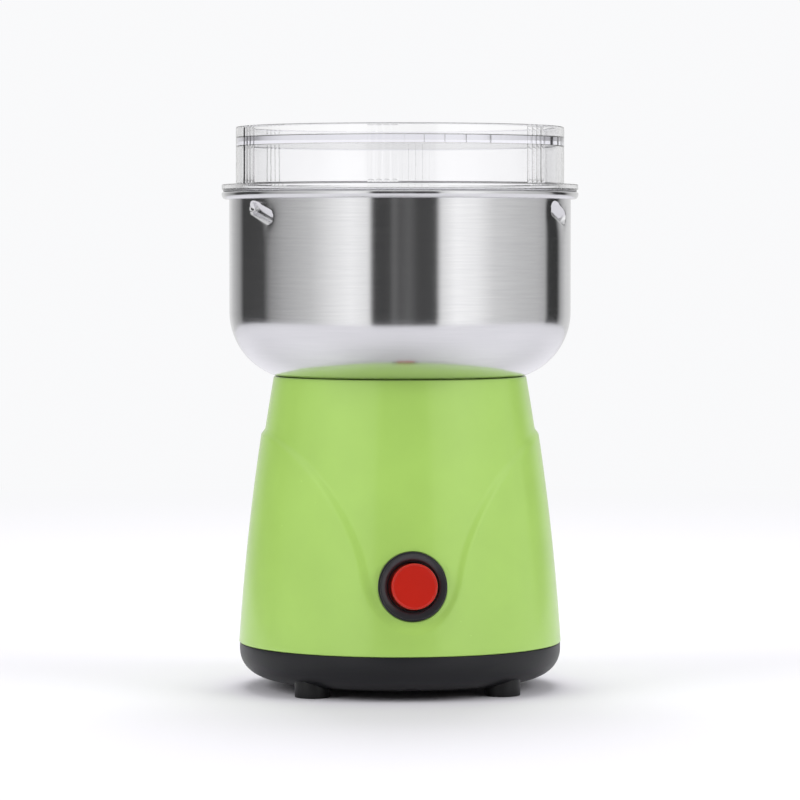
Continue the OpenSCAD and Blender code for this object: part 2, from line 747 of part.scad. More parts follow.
module motor_bottom_bracket() {
    strap_w = 15;
    pad_l = 8;
    holder_z = brush_z - brush_h / 2 - holder_wall;
    color([0.2, 0.2, 0.21]) difference() {
        union() {
            translate([-bolt_ring_r, -strap_w / 2, bottom_plate_z]) cube([2 * bolt_ring_r, strap_w, bottom_plate_t]);
            for (side = [0, 180]) rotate([0, 0, side]) {
                translate([bolt_ring_r, 0, bottom_plate_z]) cylinder(r = post_r, h = stator_z - bottom_plate_z);
                translate([bolt_ring_r, 0, bottom_plate_z]) cylinder(d = strap_w, h = bottom_plate_t);
                translate([holder_out - pad_l, -brush_w / 2, bottom_plate_z])
                    cube([pad_l, brush_w, holder_z - bottom_plate_z]);
            }
            translate([0, 0, bottom_bearing_z]) cylinder(r = bearing_seat_r, h = bearing_h);
        }
        translate([0, 0, bottom_bearing_z - 1]) cylinder(r = bearing_r, h = bearing_h + 2);
        for (side = [0, 180]) rotate([0, 0, side]) translate([bolt_ring_r, 0, bottom_plate_z - 1])
            cylinder(d = bolt_d, h = stator_z - bottom_plate_z + 2);
    }
}

module bearing(z) {
    color([0.72, 0.55, 0.3]) translate([0, 0, z]) pipe(bearing_r, shaft_r + running_gap, bearing_h);
}

pole_half = 30;
shoe_half = 57;
neck_in = armature_r + 3.4;
yoke_in = bolt_ring_r - post_r - 0.1;

module stator_core() {
    bore_r = armature_r + 0.6;
    color([0.45, 0.46, 0.48]) translate([0, 0, stator_z]) difference() {
        cylinder(r = stator_r, h = stack_h);
        translate([0, 0, -1]) {
            cylinder(r = bore_r, h = stack_h + 2);
            for (side = [0, 180]) rotate([0, 0, side]) {
                sector(bore_r - 1, yoke_in, stack_h + 2, shoe_half, 180 - shoe_half);
                sector(neck_in, yoke_in, stack_h + 2, pole_half, shoe_half + 1);
                sector(neck_in, yoke_in, stack_h + 2, 180 - shoe_half - 1, 180 - pole_half);
                translate([bolt_ring_r, 0, 0]) cylinder(d = bolt_d, h = stack_h + 2);
            }
        }
    }
}

// A saddle-shaped winding round one pole
module field_coil() {
    lap = 0.25;
    inner = neck_in + lap;
    outer = yoke_in - lap;
    color([0.72, 0.35, 0.16]) difference() {
        translate([0, 0, stator_z - coil_end_h])
            sector(inner, outer, stack_h + 2 * coil_end_h, -shoe_half + 2, shoe_half - 2);
        translate([0, 0, stator_z - lap])
            sector(inner - 1, outer + 1, stack_h + 2 * lap, -pole_half - 1, pole_half + 1);
    }
}

module motor_bolts() {
    color("silver") for (side = [0, 180]) rotate([0, 0, side]) translate([bolt_ring_r, 0, bottom_plate_z])
        pan_screw(bolt_d, bolt_head_r, bolt_head_h, top_plate_z - bottom_plate_z);
}

module brush_holder(side) {
    w = brush_w + 2 * holder_wall;
    h = brush_h + 2 * holder_wall;
    color([0.8, 0.65, 0.3]) rotate([0, 0, side]) difference() {
        translate([holder_in, -w / 2, brush_z - h / 2]) cube([holder_out - holder_in, w, h]);
        translate([holder_in - 1, -brush_w / 2 - fit_gap / 2, brush_z - brush_h / 2 - fit_gap / 2])
            cube([holder_out - holder_in + 1 - holder_wall, brush_w + fit_gap, brush_h + fit_gap]);
    }
}

module carbon_brush(side) {
    tip_gap = 0.15;
    color([0.25, 0.25, 0.26]) rotate([0, 0, side]) difference() {
        translate([commutator_r - 1, -brush_w / 2, brush_z - brush_h / 2]) cube([brush_l + 1, brush_w, brush_h]);
        translate([0, 0, brush_z - brush_h]) cylinder(r = commutator_r + tip_gap, h = 2 * brush_h);
    }
}

module brush_spring(side) {
    start = commutator_r + brush_l;
    color("silver") rotate([0, 0, side]) translate([start, 0, brush_z]) rotate([0, 90, 0])
        coil_spring(1.7, spring_wire, holder_out - holder_wall - start, 4);
}

// ---- Rotor -----------------------------------------------------------------------

module motor_shaft() {
    groove = 0.4;
    color("silver") rotate_extrude()
        polygon([
            [0, shaft_z], [shaft_r - 0.5, shaft_z], [shaft_r, shaft_z + 0.5], [shaft_r, nut_z],
            [shaft_r - groove, nut_z + groove], [shaft_r - groove, shaft_top_z - 0.4],
            [shaft_r - groove - 0.4, shaft_top_z], [0, shaft_top_z]
        ]);
}

slot_r = 1.8;
slot_ring_r = armature_r - slot_r - 1.3;

module armature_core() {
    mouth_w = 1.0;
    color([0.5, 0.51, 0.53]) translate([0, 0, stator_z]) difference() {
        cylinder(r = armature_r, h = stack_h);
        translate([0, 0, -1]) cylinder(r = shaft_r, h = stack_h + 2);
        for (i = [0 : armature_slots - 1]) rotate([0, 0, 360 * i / armature_slots]) translate([0, 0, -1]) {
            translate([slot_ring_r, 0, 0]) cylinder(r = slot_r, h = stack_h + 2, $fn = 32);
            translate([slot_ring_r, -mouth_w / 2, 0]) cube([armature_r, mouth_w, stack_h + 2]);
        }
    }
}

module armature_winding() {
    wire_r = slot_r - 0.15;
    end_r = slot_ring_r + 1.2;
    core_r = shaft_r + 0.2;
    end_profile = [
        [core_r, 0], [end_r, 0], [end_r, winding_end_h * 0.45], [end_r - 1.5, winding_end_h * 0.85],
        [end_r - 4, winding_end_h], [core_r, winding_end_h]
    ];
    color([0.75, 0.38, 0.18]) {
        translate([0, 0, stator_z + stack_h]) rotate_extrude() polygon(end_profile);
        translate([0, 0, stator_z]) mirror([0, 0, 1]) rotate_extrude() polygon(end_profile);
        for (i = [0 : armature_slots - 1]) rotate([0, 0, 360 * i / armature_slots])
            translate([slot_ring_r, 0, stator_z - 1]) cylinder(r = wire_r, h = stack_h + 2, $fn = 32);
    }
}

module commutator() {
    cut_w = 0.5;
    cut_d = 0.8;
    color([0.8, 0.5, 0.25]) translate([0, 0, commutator_z]) difference() {
        union() {
            cylinder(r = commutator_r, h = commutator_h);
            translate([0, 0, commutator_h - riser_h]) cylinder(r = commutator_r + 1.2, h = riser_h);
        }
        translate([0, 0, -1]) cylinder(r = shaft_r, h = commutator_h + 2);
        for (i = [0 : armature_slots - 1]) rotate([0, 0, 360 * i / armature_slots])
            translate([commutator_r - cut_d, -cut_w / 2, -1]) cube([cut_d + 2, cut_w, commutator_h + 2]);
    }
}

module cooling_fan() {
    plate_t = 1.2;
    vane_t = 1.2;
    hub_r = shaft_r + 3;
    color([0.9, 0.9, 0.86]) translate([0, 0, fan_z]) difference() {
        union() {
            cylinder(r = fan_r, h = plate_t);
            cylinder(r = hub_r, h = fan_h);
            for (i = [0 : fan_blades - 1]) rotate([0, 0, 360 * i / fan_blades])
                translate([hub_r - 1, -vane_t / 2, 0]) cube([fan_r - hub_r + 0.6, vane_t, fan_h - 0.6]);
        }
        translate([0, 0, -1]) cylinder(r = shaft_r, h = fan_h + 2);
    }
}

// ---- Blades ----------------------------------------------------------------------

module blade_spacer() {
    color("silver") translate([0, 0, spacer_z]) pipe(shaft_r + 2.6, shaft_r, spacer_h);
}

// Two arms that lean from a flat middle, each ground to a bevel on its leading edge
module blade(reach, lean, z, flat_r) {
    root_x = lean > 0 ? 0 : -blade_t * sin(-lean) - eps;
    tip_w = blade_w * 0.62;
    arm_l = (reach - flat_r) / cos(lean);
    tip_cut = 3.0;
    bevel = 3.2;
    bevel_from = 2.5;
    color([0.82, 0.82, 0.84]) translate([0, 0, z]) difference() {
        union() {
            cylinder(r = flat_r, h = blade_t);
            for (side = [0, 180]) rotate([0, 0, side]) {
                translate([0, -blade_w / 2, 0]) cube([flat_r, blade_w, blade_t]);
                translate([flat_r, 0, 0]) rotate([0, -lean, 0]) difference() {
                    linear_extrude(blade_t)
                        polygon([[root_x, -blade_w / 2], [arm_l - tip_cut, -tip_w / 2 - tip_cut * 0.2],
                            [arm_l, -tip_w / 2 + tip_cut * 0.8], [arm_l, tip_w / 2 - tip_cut / 3],
                            [arm_l - tip_cut / 3, tip_w / 2], [root_x, blade_w / 2]]);
                    translate([bevel_from, -blade_w / 2 - bevel * 0.16, blade_t])
                        rotate([0, 0, atan((blade_w - tip_w) / 2 / arm_l)])
                        rotate([atan(blade_t / bevel), 0, 0]) translate([0, -bevel, 0])
                        cube([arm_l * 2, 2 * bevel, 2 * blade_t]);
                }
            }
        }
        translate([0, 0, -over / 2]) cylinder(r = shaft_r, h = over);
    }
}

module blade_lower() {
    flat_r = 10;
    rotate([0, 0, 90]) blade(lower_blade_r, -lower_blade_lean, lower_blade_z, flat_r);
}

module blade_upper() {
    flat_r = 9;
    blade(upper_blade_r, upper_blade_lean, upper_blade_z, flat_r);
}

module blade_washer() {
    color("silver") translate([0, 0, washer_z]) pipe(shaft_r + 2.4, shaft_r, washer_t);
}

// Domed hexagon nut on the shaft's threaded end
module blade_nut() {
    across_corners_r = shaft_r + 2.9;
    dome_h = 2.4;
    color([0.8, 0.8, 0.82]) translate([0, 0, nut_z]) difference() {
        union() {
            cylinder(r = across_corners_r, h = nut_h, $fn = 6);
            translate([0, 0, nut_h]) rotate_extrude()
                polygon([[0, 0], [shaft_r + 2, 0], [shaft_r + 1.4, dome_h * 0.6], [shaft_r, dome_h * 0.9], [0, dome_h]]);
        }
        translate([0, 0, -eps]) cylinder(r = shaft_r, h = nut_h + eps);
    }
}

// ---- Lid -------------------------------------------------------------------------

module lid_seal() {
    color([0.85, 0.85, 0.87]) translate([0, 0, seal_z]) pipe(lid_flange_r - 0.4, lid_skirt_r + slide_gap, seal_t);
}

// Section of one group of ribs: a low pad on the wall with pointed ribs side by side
module rib_group() {
    half_step = asin(rib_pitch / 2 / lid_r);
    low_r = lid_r + 0.08;
    root_r = lid_r - 0.7;
    end_a = half_step * group_ribs;
    polygon(concat(
        [for (i = [-group_ribs : group_ribs])
            let (r = abs(i % 2) == group_ribs % 2 ? low_r : low_r + rib_h)
            [r * cos(half_step * i), r * sin(half_step * i)]],
        [[root_r * cos(end_a), root_r * sin(end_a)], [root_r * cos(end_a), -root_r * sin(end_a)]]
    ));
}

module lid() {
    wall_in = lid_r - lid_wall;
    skirt_in = lid_skirt_r - lid_skirt_t;
    plate_z = lid_top_z - lid_recess - lid_plate_t;
    edge = 0.4;
    round_t = lid_flange_t / 2;
    fillet = 0.6;
    color([0.9, 0.91, 0.95, 0.35]) {
        rotate_extrude()
            polygon([
                [0, plate_z], [wall_in, plate_z], [wall_in, flange_z + lid_flange_t],
                [skirt_in, flange_z], [skirt_in, lid_skirt_z], [lid_skirt_r, lid_skirt_z],
                [lid_skirt_r, flange_z], [lid_flange_r - round_t, flange_z], [lid_flange_r, flange_z + round_t],
                [lid_flange_r - round_t, flange_z + lid_flange_t], [lid_r + fillet, flange_z + lid_flange_t],
                [lid_r + fillet * 0.3, flange_z + lid_flange_t + fillet * 0.3],
                [lid_r, flange_z + lid_flange_t + fillet], [lid_r, lid_top_z - edge], [lid_r - edge, lid_top_z],
                [wall_in + edge, lid_top_z], [wall_in, lid_top_z - edge],
                [wall_in, plate_z + lid_plate_t], [0, plate_z + lid_plate_t]
            ]);
        for (g = [0 : rib_groups - 1])
            rotate([0, 0, 270 - rib_clock + 360 * g / rib_groups])
                translate([0, 0, flange_z + lid_flange_t / 2])
                    linear_extrude(lid_h - lid_flange_t / 2 - edge) rib_group();
        for (a = ramp_angles)
            ramp_bar(a - lid_turn_angle, lug_z, lug_l, lug_w, lid_skirt_r - lid_skirt_t / 2, bowl_in_r - slide_gap);
    }
}

housing();
base_cover();
foot(foot_angles[0]);  // foot_front_left
foot(foot_angles[1]);  // foot_front_right
foot(foot_angles[2]);  // foot_rear_left
foot(foot_angles[3]);  // foot_rear_right
base_screws();
cord_gland();
switch_body();
switch_nut();
switch_button();
switch_spring();
switch_terminals();
bowl();
bowl_screws();
bowl_washers();
shaft_seal();
motor_dampers();
motor_top_bracket();
motor_bottom_bracket();
bearing(top_bearing_z);  // top_bearing
bearing(bottom_bearing_z);  // bottom_bearing
stator_core();
rotate([0, 0, 180]) field_coil();  // field_coil_left
field_coil();  // field_coil_right
motor_bolts();
brush_holder(180);  // brush_holder_left
brush_holder(0);  // brush_holder_right
carbon_brush(180);  // carbon_brush_left
carbon_brush(0);  // carbon_brush_right
brush_spring(180);  // brush_spring_left
brush_spring(0);  // brush_spring_right
motor_shaft();
armature_core();
armature_winding();
commutator();
cooling_fan();
blade_spacer();
blade_lower();
blade_upper();
blade_washer();
blade_nut();
lid();
lid_seal();
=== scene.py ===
"""Electric grain mill: steel bowl, clear twist-on lid and green motor housing, dressed round the CAD frame.

Lengths are written in millimetres and become metres where a mesh is made. The shaft is the Z axis, the
floor is z = 0 and the switch faces -Y. Surfaces are grids of two parameters worked out with numpy.
"""
import json
import math

import bpy
import numpy as np
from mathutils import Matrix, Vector


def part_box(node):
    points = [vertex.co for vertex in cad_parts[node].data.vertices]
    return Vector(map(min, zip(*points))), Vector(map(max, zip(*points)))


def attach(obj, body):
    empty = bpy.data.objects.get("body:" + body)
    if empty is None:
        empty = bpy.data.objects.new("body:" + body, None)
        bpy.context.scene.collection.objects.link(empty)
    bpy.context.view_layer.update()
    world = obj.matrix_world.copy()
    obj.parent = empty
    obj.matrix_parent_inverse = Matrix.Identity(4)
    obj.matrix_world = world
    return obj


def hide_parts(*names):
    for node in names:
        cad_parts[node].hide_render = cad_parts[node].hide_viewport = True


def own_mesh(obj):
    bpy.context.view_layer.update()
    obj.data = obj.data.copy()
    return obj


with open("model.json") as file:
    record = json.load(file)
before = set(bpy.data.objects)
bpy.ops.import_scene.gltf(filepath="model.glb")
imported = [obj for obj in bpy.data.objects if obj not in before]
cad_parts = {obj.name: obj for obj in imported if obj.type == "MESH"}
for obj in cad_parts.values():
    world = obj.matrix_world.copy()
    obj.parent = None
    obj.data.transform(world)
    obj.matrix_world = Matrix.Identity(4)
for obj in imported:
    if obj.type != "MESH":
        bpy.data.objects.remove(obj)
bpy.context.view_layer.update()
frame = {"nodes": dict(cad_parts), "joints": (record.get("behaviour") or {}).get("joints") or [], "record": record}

MM = 0.001
TAU = 2 * math.pi


# ---- Sizes, read from the frame where it knows them ----

def node_box(node):
    """Lowest and highest corner of a CAD node, in millimetres."""
    low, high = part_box(node)
    return np.array(low) / MM, np.array(high) / MM


housing_low, housing_high = node_box("housing")
cover_low, cover_high = node_box("base_cover")
bowl_low, bowl_high = node_box("bowl")
lid_low, lid_high = node_box("lid")
gland_low, gland_high = node_box("cord_gland")
foot_low, foot_high = node_box("foot_front_left")

seam_z = housing_low[2]  # housing meets base cover
skirt_r = housing_high[0]  # housing's radius at the seam
bowl_z = bowl_low[2]  # underside of the bowl
rim_z = bowl_high[2]  # crest of the bowl's bead
flange_z = node_box("lid_seal")[1][2]  # underside of the lid's flange
lid_top_z = lid_high[2]

fit_gap = 0.1  # between pieces that are put together and stay
slide_gap = 0.3  # between pieces that move past each other

# Housing
skirt_slope = 0.0648  # side's lean at the seam
skirt_curve = 0.000661  # and how fast it grows with height
housing_wall = 2.2
panel_step = 1.0  # full depth of the panels below the skirt
skirt_edge_h = 65.9  # middle of the skirt's top edge above the seam
panel_bottom_h = 7.6
panel_half_w = 15.0
panel_round = 0.36  # share of a panel's height that its round bottom takes
panel_flare_from = 0.3
panel_flare, neck_flare = 38, 48  # how fast its half-width grows, all the way and near the neck
low_step = 0.35  # share of the step at the panels' bottom
step_grows_from, step_grows_over = 14, 46
step_soft = 2.2  # width over which the step falls away
deck_t = 3.0
dish_gap = 0.15
neck_round = 0.6
hub_r = 9.8  # opening of the deck round the bearing seat
deck_screw_ring = 20.0
deck_screw_angles = np.radians([90, 210, 330])
deck_hole_r = 1.8
post_h = 9.0
post_r = 3.6
post_web_t = 2.0
post_hole_r = 1.5
gland_neck_r = 4.4

# Base cover
cover_r = cover_high[0]
cover_t = 2.2
band_z = seam_z - 1.6  # foot of the upright band under the seam
cover_round_w = 13.5  # width of the rounded lower edge
cover_fullness = 2.3  # 2 would be an ellipse
cover_lip_t = 1.6
pocket_wall = 1.8
foot_ring_r = 41.3
foot_r = (foot_high[0] - foot_low[0]) / 2
foot_stem_r = 2.4
foot_head_h = 2.2
foot_seat_z = foot_high[2] - foot_head_h - pocket_wall
screw_ring = skirt_r - 9.2
screw_angles = np.radians([270, 20, 160])
screw_head_top = cover_low[2] + 4.2
screw_head_r = 3.3
screw_hole_r = 1.7
screw_column_r = 4.2
vent_r = 24.0
vent_w = 2.4
vent_pitch = 6.0

# Bowl
bowl_r = 53.3
sheet_t = 0.7
corner_r = 21.0
bead_r = 1.2
ramp_l = 12.0
ramp_w = 4.2
ramp_depth = 1.7
groove = 0.85  # deepest line of a ramp, below its middle
ramp_end = 0.6  # length of a ramp's end flanks
sheet_pull = 0.3  # share of ramp_depth, in mm, by which the sheet round a ramp is drawn in
pull_along, pull_across = 3.0, 3.8  # how far that reaches
ramp_slope = math.radians(19)
ramp_fall = 0.35  # how far a ramp's outline is wider than its flat width
ramp_drop = 6.8  # from the rim down to the ramps' middle
ramp_angles = np.radians(92.5 + 120 * np.arange(3))
bowl_hole_r = 8.4  # for the shaft's seal

# Lid
lid_r = 51.2
lid_wall = 1.8
lid_flange_t = 1.7
lid_recess = 3.5
plate_t = 2.4
plate_heights = (lid_top_z - lid_recess - plate_t, lid_top_z - lid_recess)
skirt_wall = 1.4
rib_groups = 6
group_ribs = 4
rib_pitch = 2.35
rib_h = 0.16
rib_clock = math.radians(10.4)  # front group's turn from straight ahead
lid_turn = math.radians(24)  # from its rest to its lock under the ramps
lug_l, lug_w, lug_t = 7.6, 2.0, 1.1

# Switch
switch_h = 21.2  # above the seam
bezel_r = 10.5
bezel_t = 2.3
bezel_hole_r = 7.95
cap_r = 6.95
cap_front = 5.4  # cap's face above the bezel's seat
cap_face_t = 2.0
barrel_r = bezel_hole_r + 1.0
barrel_l = 15.3
barrel_floor_t = 2.0
seat_wall = 2.4  # housing's wall behind the bezel
nut_pocket_r = bezel_r + 1.5
press_axis = np.array(next(j for j in frame["joints"] if j["name"] == "switch_press")["axis"])


# ---- Shader writing ----

class Wire:
    """One output socket. Arithmetic on wires and numbers adds the Math nodes that it names."""

    def __init__(self, finish, socket):
        self.finish = finish
        self.socket = socket

    def math(self, operation, *others):
        values = dict(enumerate((self, *others)))
        return self.finish.node("Math", {"operation": operation}, values)

    def __add__(self, other):
        return self.math("ADD", other)

    def __sub__(self, other):
        return self.math("SUBTRACT", other)

    def __mul__(self, other):
        return self.math("MULTIPLY", other)

    def __truediv__(self, other):
        return self.math("DIVIDE", other)

    def __rsub__(self, other):
        return (self * -1) + other

    __radd__ = __add__
    __rmul__ = __mul__

    def clip(self, low, high):
        """The wire's value brought to 0 at low and 1 at high, and held outside them."""
        settings = {"clamp": True}
        return self.finish.node("MapRange", settings, {0: self, 1: low, 2: high, 3: 0.0, 4: 1.0})


class Finish:
    """A material or world under construction: every node comes from node(), linked or set as asked."""

    def __init__(self, owner):
        owner.use_nodes = True
        self.owner = owner
        self.tree = owner.node_tree
        self.tree.nodes.clear()

    def node(self, kind, settings=None, values=None, output=0):
        """Adds a node: settings first (stops fill a ramp), then the values or wires of its sockets."""
        made = self.tree.nodes.new("ShaderNode" + kind)
        for name, value in (settings or {}).items():
            if name == "stops":
                self.fill_ramp(made.color_ramp, value)
            else:
                setattr(made, name, value)
        for name, value in (values or {}).items():
            socket = made.inputs[name]
            if isinstance(value, Wire):
                self.tree.links.new(value.socket, socket)
            elif isinstance(value, (tuple, list)) and socket.type == "RGBA":
                socket.default_value = (*value, 1.0)
            else:
                socket.default_value = value
        return Wire(self, made.outputs[output]) if made.outputs else None

    @staticmethod
    def fill_ramp(ramp, stops):
        """Gives a colour ramp its stops, each a place and a grey level or a colour."""
        while len(ramp.elements) < len(stops):
            ramp.elements.new(0.5)
        for element, (place, level) in zip(ramp.elements, stops):
            element.position = place
            element.color = (*level, 1.0) if isinstance(level, tuple) else (level, level, level, 1.0)

    def place(self, scale=(1, 1, 1), shift=(0, 0, 0)):
        """Object coordinates in metres, scaled and shifted."""
        coordinates = self.node("TexCoord", output="Object")
        return self.node("Mapping", {}, {"Vector": coordinates, "Scale": scale, "Location": shift})

    def noise(self, per_mm, detail=2.0, rough=0.5, stretch=(1, 1, 1), at=None):
        """Soft noise with about per_mm bumps to the millimetre, from 0 to 1."""
        vector = self.place(stretch) if at is None else at
        values = {"Vector": vector, "Scale": per_mm / MM, "Detail": detail, "Roughness": rough}
        return self.node("TexNoise", {}, values, "Fac")

    def mix(self, factor, first, second):
        """One colour turning into another as factor goes from 0 to 1."""
        return self.node("Mix", {"data_type": "RGBA"}, {0: factor, 6: first, 7: second}, 2)

    def cells(self, per_mm):
        """Distance to the nearest of points strewn about, some per_mm of them to the millimetre."""
        values = {"Vector": self.place(), "Scale": per_mm / MM}
        return self.node("TexVoronoi", {}, values, "Distance")

    def tone_of(self, count):
        """A random tone from 0 to 1 for every whole step of a count."""
        values = {"W": count.math("FLOOR")}
        return self.node("TexWhiteNoise", {"noise_dimensions": "1D"}, values, "Value")

    def bump(self, height, depth):
        """A normal from a height field; depth is the height's full swing in millimetres."""
        values = {"Height": height, "Distance": depth * MM, "Strength": 1.0}
        return self.node("Bump", {}, values, "Normal")

    def outputs(self, kind, values=None):
        """Adds a node and gives its outputs by name."""
        made = self.node(kind, {}, values).socket.node
        return {output.name: Wire(self, output) for output in made.outputs}

    def parts(self, vector):
        """The x, y and z of a vector."""
        return list(self.outputs("SeparateXYZ", {0: vector}).values())

    def blend(self, factor, first, second):
        """One shader giving way to another as factor goes from 0 to 1."""
        return self.node("MixShader", {}, {0: factor, 1: first, 2: second})


def shade(name, values, build):
    """A material with a Principled shader: values go on its sockets, and so does what build returns."""
    finish = Finish(bpy.data.materials.new(name))
    surface = finish.node("BsdfPrincipled", {}, {**values, **build(finish)})
    finish.node("OutputMaterial", {}, {"Surface": surface})
    return finish.owner


def toned(colour, factor, lift=0.0):
    """A colour made darker or lighter, up to 1."""
    return tuple(min(1.0, c * factor + lift) for c in colour)


def moulded(name, colour, roughness, grain, per_mm, mottle, coat=0.0, specks=0.0, gloss=0.5):
    """Moulded plastic or rubber: spark-eroded grain, faint mottling and, where asked, a few pale specks."""
    def build(f):
        cloud = f.noise(0.06, 3)
        grit = f.noise(per_mm, 3, 0.6)
        darker, lighter = toned(colour, 1 - mottle), toned(colour, 1 + mottle, mottle * 0.01)
        base = f.mix(cloud.clip(0.3, 0.7), darker, lighter)
        if specks:
            patch = f.noise(0.11, 0, at=f.place(shift=(0.31, 0.17, 0.05)))
            dot = (1 - f.cells(0.22).clip(0.03, 0.05)) * patch.clip(0.6, 0.66)
            base = f.mix(dot * specks, base, toned(colour, 1.4, 0.08))
        return {
            "Base Color": base,
            "Roughness": (cloud - 0.5) * 0.08 + (grit - 0.5) * 0.1 + roughness,
            "Normal": f.bump(grit, grain),
        }
    return shade(name, {"Specular IOR Level": gloss, "Coat Weight": coat, "Coat Roughness": 0.12}, build)


def scratches(f, along, across, detail, rough=0.5):
    """Noise drawn out round the shaft: coarse along the circle, fine across it, from 0 to 1."""
    x, y, z = f.parts(f.place())
    radius = (x * x + y * y).math("SQRT").math("MAXIMUM", 0.0005)
    place = {0: x / radius * along, 1: y / radius * along, 2: (z + radius) * across / MM}
    values = {"Vector": f.node("CombineXYZ", {}, place), "Scale": 1.0}
    return f.node("TexNoise", {}, {**values, "Detail": detail, "Roughness": rough}, "Fac")


def brushed_bowl(name):
    """Stainless sheet brushed round the shaft: fine and long scratches, and pin-prick pits."""
    def build(f):
        hair = scratches(f, 9.0, 4.5, 3, 0.65)
        long_hair = scratches(f, 3.0, 1.6, 4, 0.7)
        pit = 1 - f.cells(0.16).clip(0.02, 0.04)
        height = hair * 0.6 + long_hair * 0.4 - pit * 0.5
        return {
            "Base Color": f.mix(long_hair.clip(0.3, 0.7), (0.70, 0.70, 0.715), (0.76, 0.76, 0.77)),
            "Roughness": (hair - 0.5) * 0.1 + (long_hair - 0.5) * 0.06 + 0.14,
            "Normal": f.bump(height, 0.003),
        }
    values = {"Metallic": 1.0, "Anisotropic": 0.75, "Anisotropic Rotation": 0.25}
    return shade(name, values, build)


def turned_metal(name, colour, roughness, across=2.0, depth=0.004, tarnish=0.08):
    """Metal with fine rings round the shaft and a little tarnish."""
    def build(f):
        rings = scratches(f, 1.5, across, 2)
        cloud = f.noise(0.15, 3)
        return {
            "Base Color": f.mix(cloud.clip(0.35, 0.65), toned(colour, 1 - tarnish), colour),
            "Roughness": (rings - 0.5) * 0.12 + (cloud - 0.5) * 0.08 + roughness,
            "Normal": f.bump(rings, depth),
        }
    return shade(name, {"Metallic": 1.0}, build)


def plated_metal(name, colour, roughness, per_mm=0.5, depth=0.006):
    """Plated, pressed or cast metal: an even skin with soft pits and faint clouding."""
    def build(f):
        skin = f.noise(per_mm, 3, 0.6)
        cloud = f.noise(0.12, 2)
        return {
            "Base Color": f.mix(cloud.clip(0.3, 0.7), toned(colour, 0.9), colour),
            "Roughness": (skin - 0.5) * 0.16 + roughness,
            "Normal": f.bump(skin, depth),
        }
    return shade(name, {"Metallic": 1.0}, build)


def laminated(name, colour, sheet=0.5):
    """Stacked sheets of electrical steel: a groove at every sheet and a slightly varying grey."""
    def build(f):
        layer = f.parts(f.place())[2] / (sheet * MM)
        seam = (layer * TAU).math("SINE").clip(-1, -0.6)
        return {
            "Base Color": f.mix(f.tone_of(layer), toned(colour, 0.8), toned(colour, 1.1)),
            "Roughness": 0.55 - seam * 0.12,
            "Normal": f.bump(seam, 0.05),
        }
    return shade(name, {"Metallic": 0.85}, build)


def wound_copper(name, colour, wire_d=0.45):
    """Enamelled wire laid side by side: round ridges across the winding, some turns darker."""
    def build(f):
        turn = f.parts(f.place())[2] / (wire_d * MM) + f.noise(0.12, 1) * 1.2
        ridge = (turn * TAU).math("SINE") * 0.5 + 0.5
        return {
            "Base Color": f.mix(f.tone_of(turn), toned(colour, 0.7), colour),
            "Roughness": 0.34 - ridge * 0.08,
            "Normal": f.bump(ridge, 0.12),
        }
    return shade(name, {"Coat Weight": 0.4, "Coat Roughness": 0.15}, build)


def clear_moulding(name, tint, roughness=0.02, ior=1.57, wave=0.01, painted_tint_heights=None):
    """Clear polished styrene or silicone with the faint waviness of a moulding. Between two given heights the
    base colour carries a painted tint, which stands in for the deeper tint where light crosses the most material."""
    def build(f):
        flow = f.noise(0.09, 2)
        rub = f.noise(0.5, 3, stretch=(1, 1, 3))
        colour = f.mix(flow.clip(0.35, 0.65), toned(tint, 0.985), tint)
        if painted_tint_heights:
            z = f.parts(f.place())[2]
            low, high = (height * MM for height in painted_tint_heights)
            ease = 0.2 * MM
            band = z.clip(low, low + ease) * (1 - z.clip(high - ease, high))
            # Painted tint in the plate's band of heights, standing in for light crossing the most material there
            colour = f.mix(band, colour, (0.925, 0.92, 0.99))
        return {
            "Base Color": colour,
            "Roughness": rub.clip(0.5, 0.8) * 0.03 + roughness,
            "Normal": f.bump(flow, wave),
        }
    return shade(name, {"Transmission Weight": 1.0, "IOR": ior}, build)


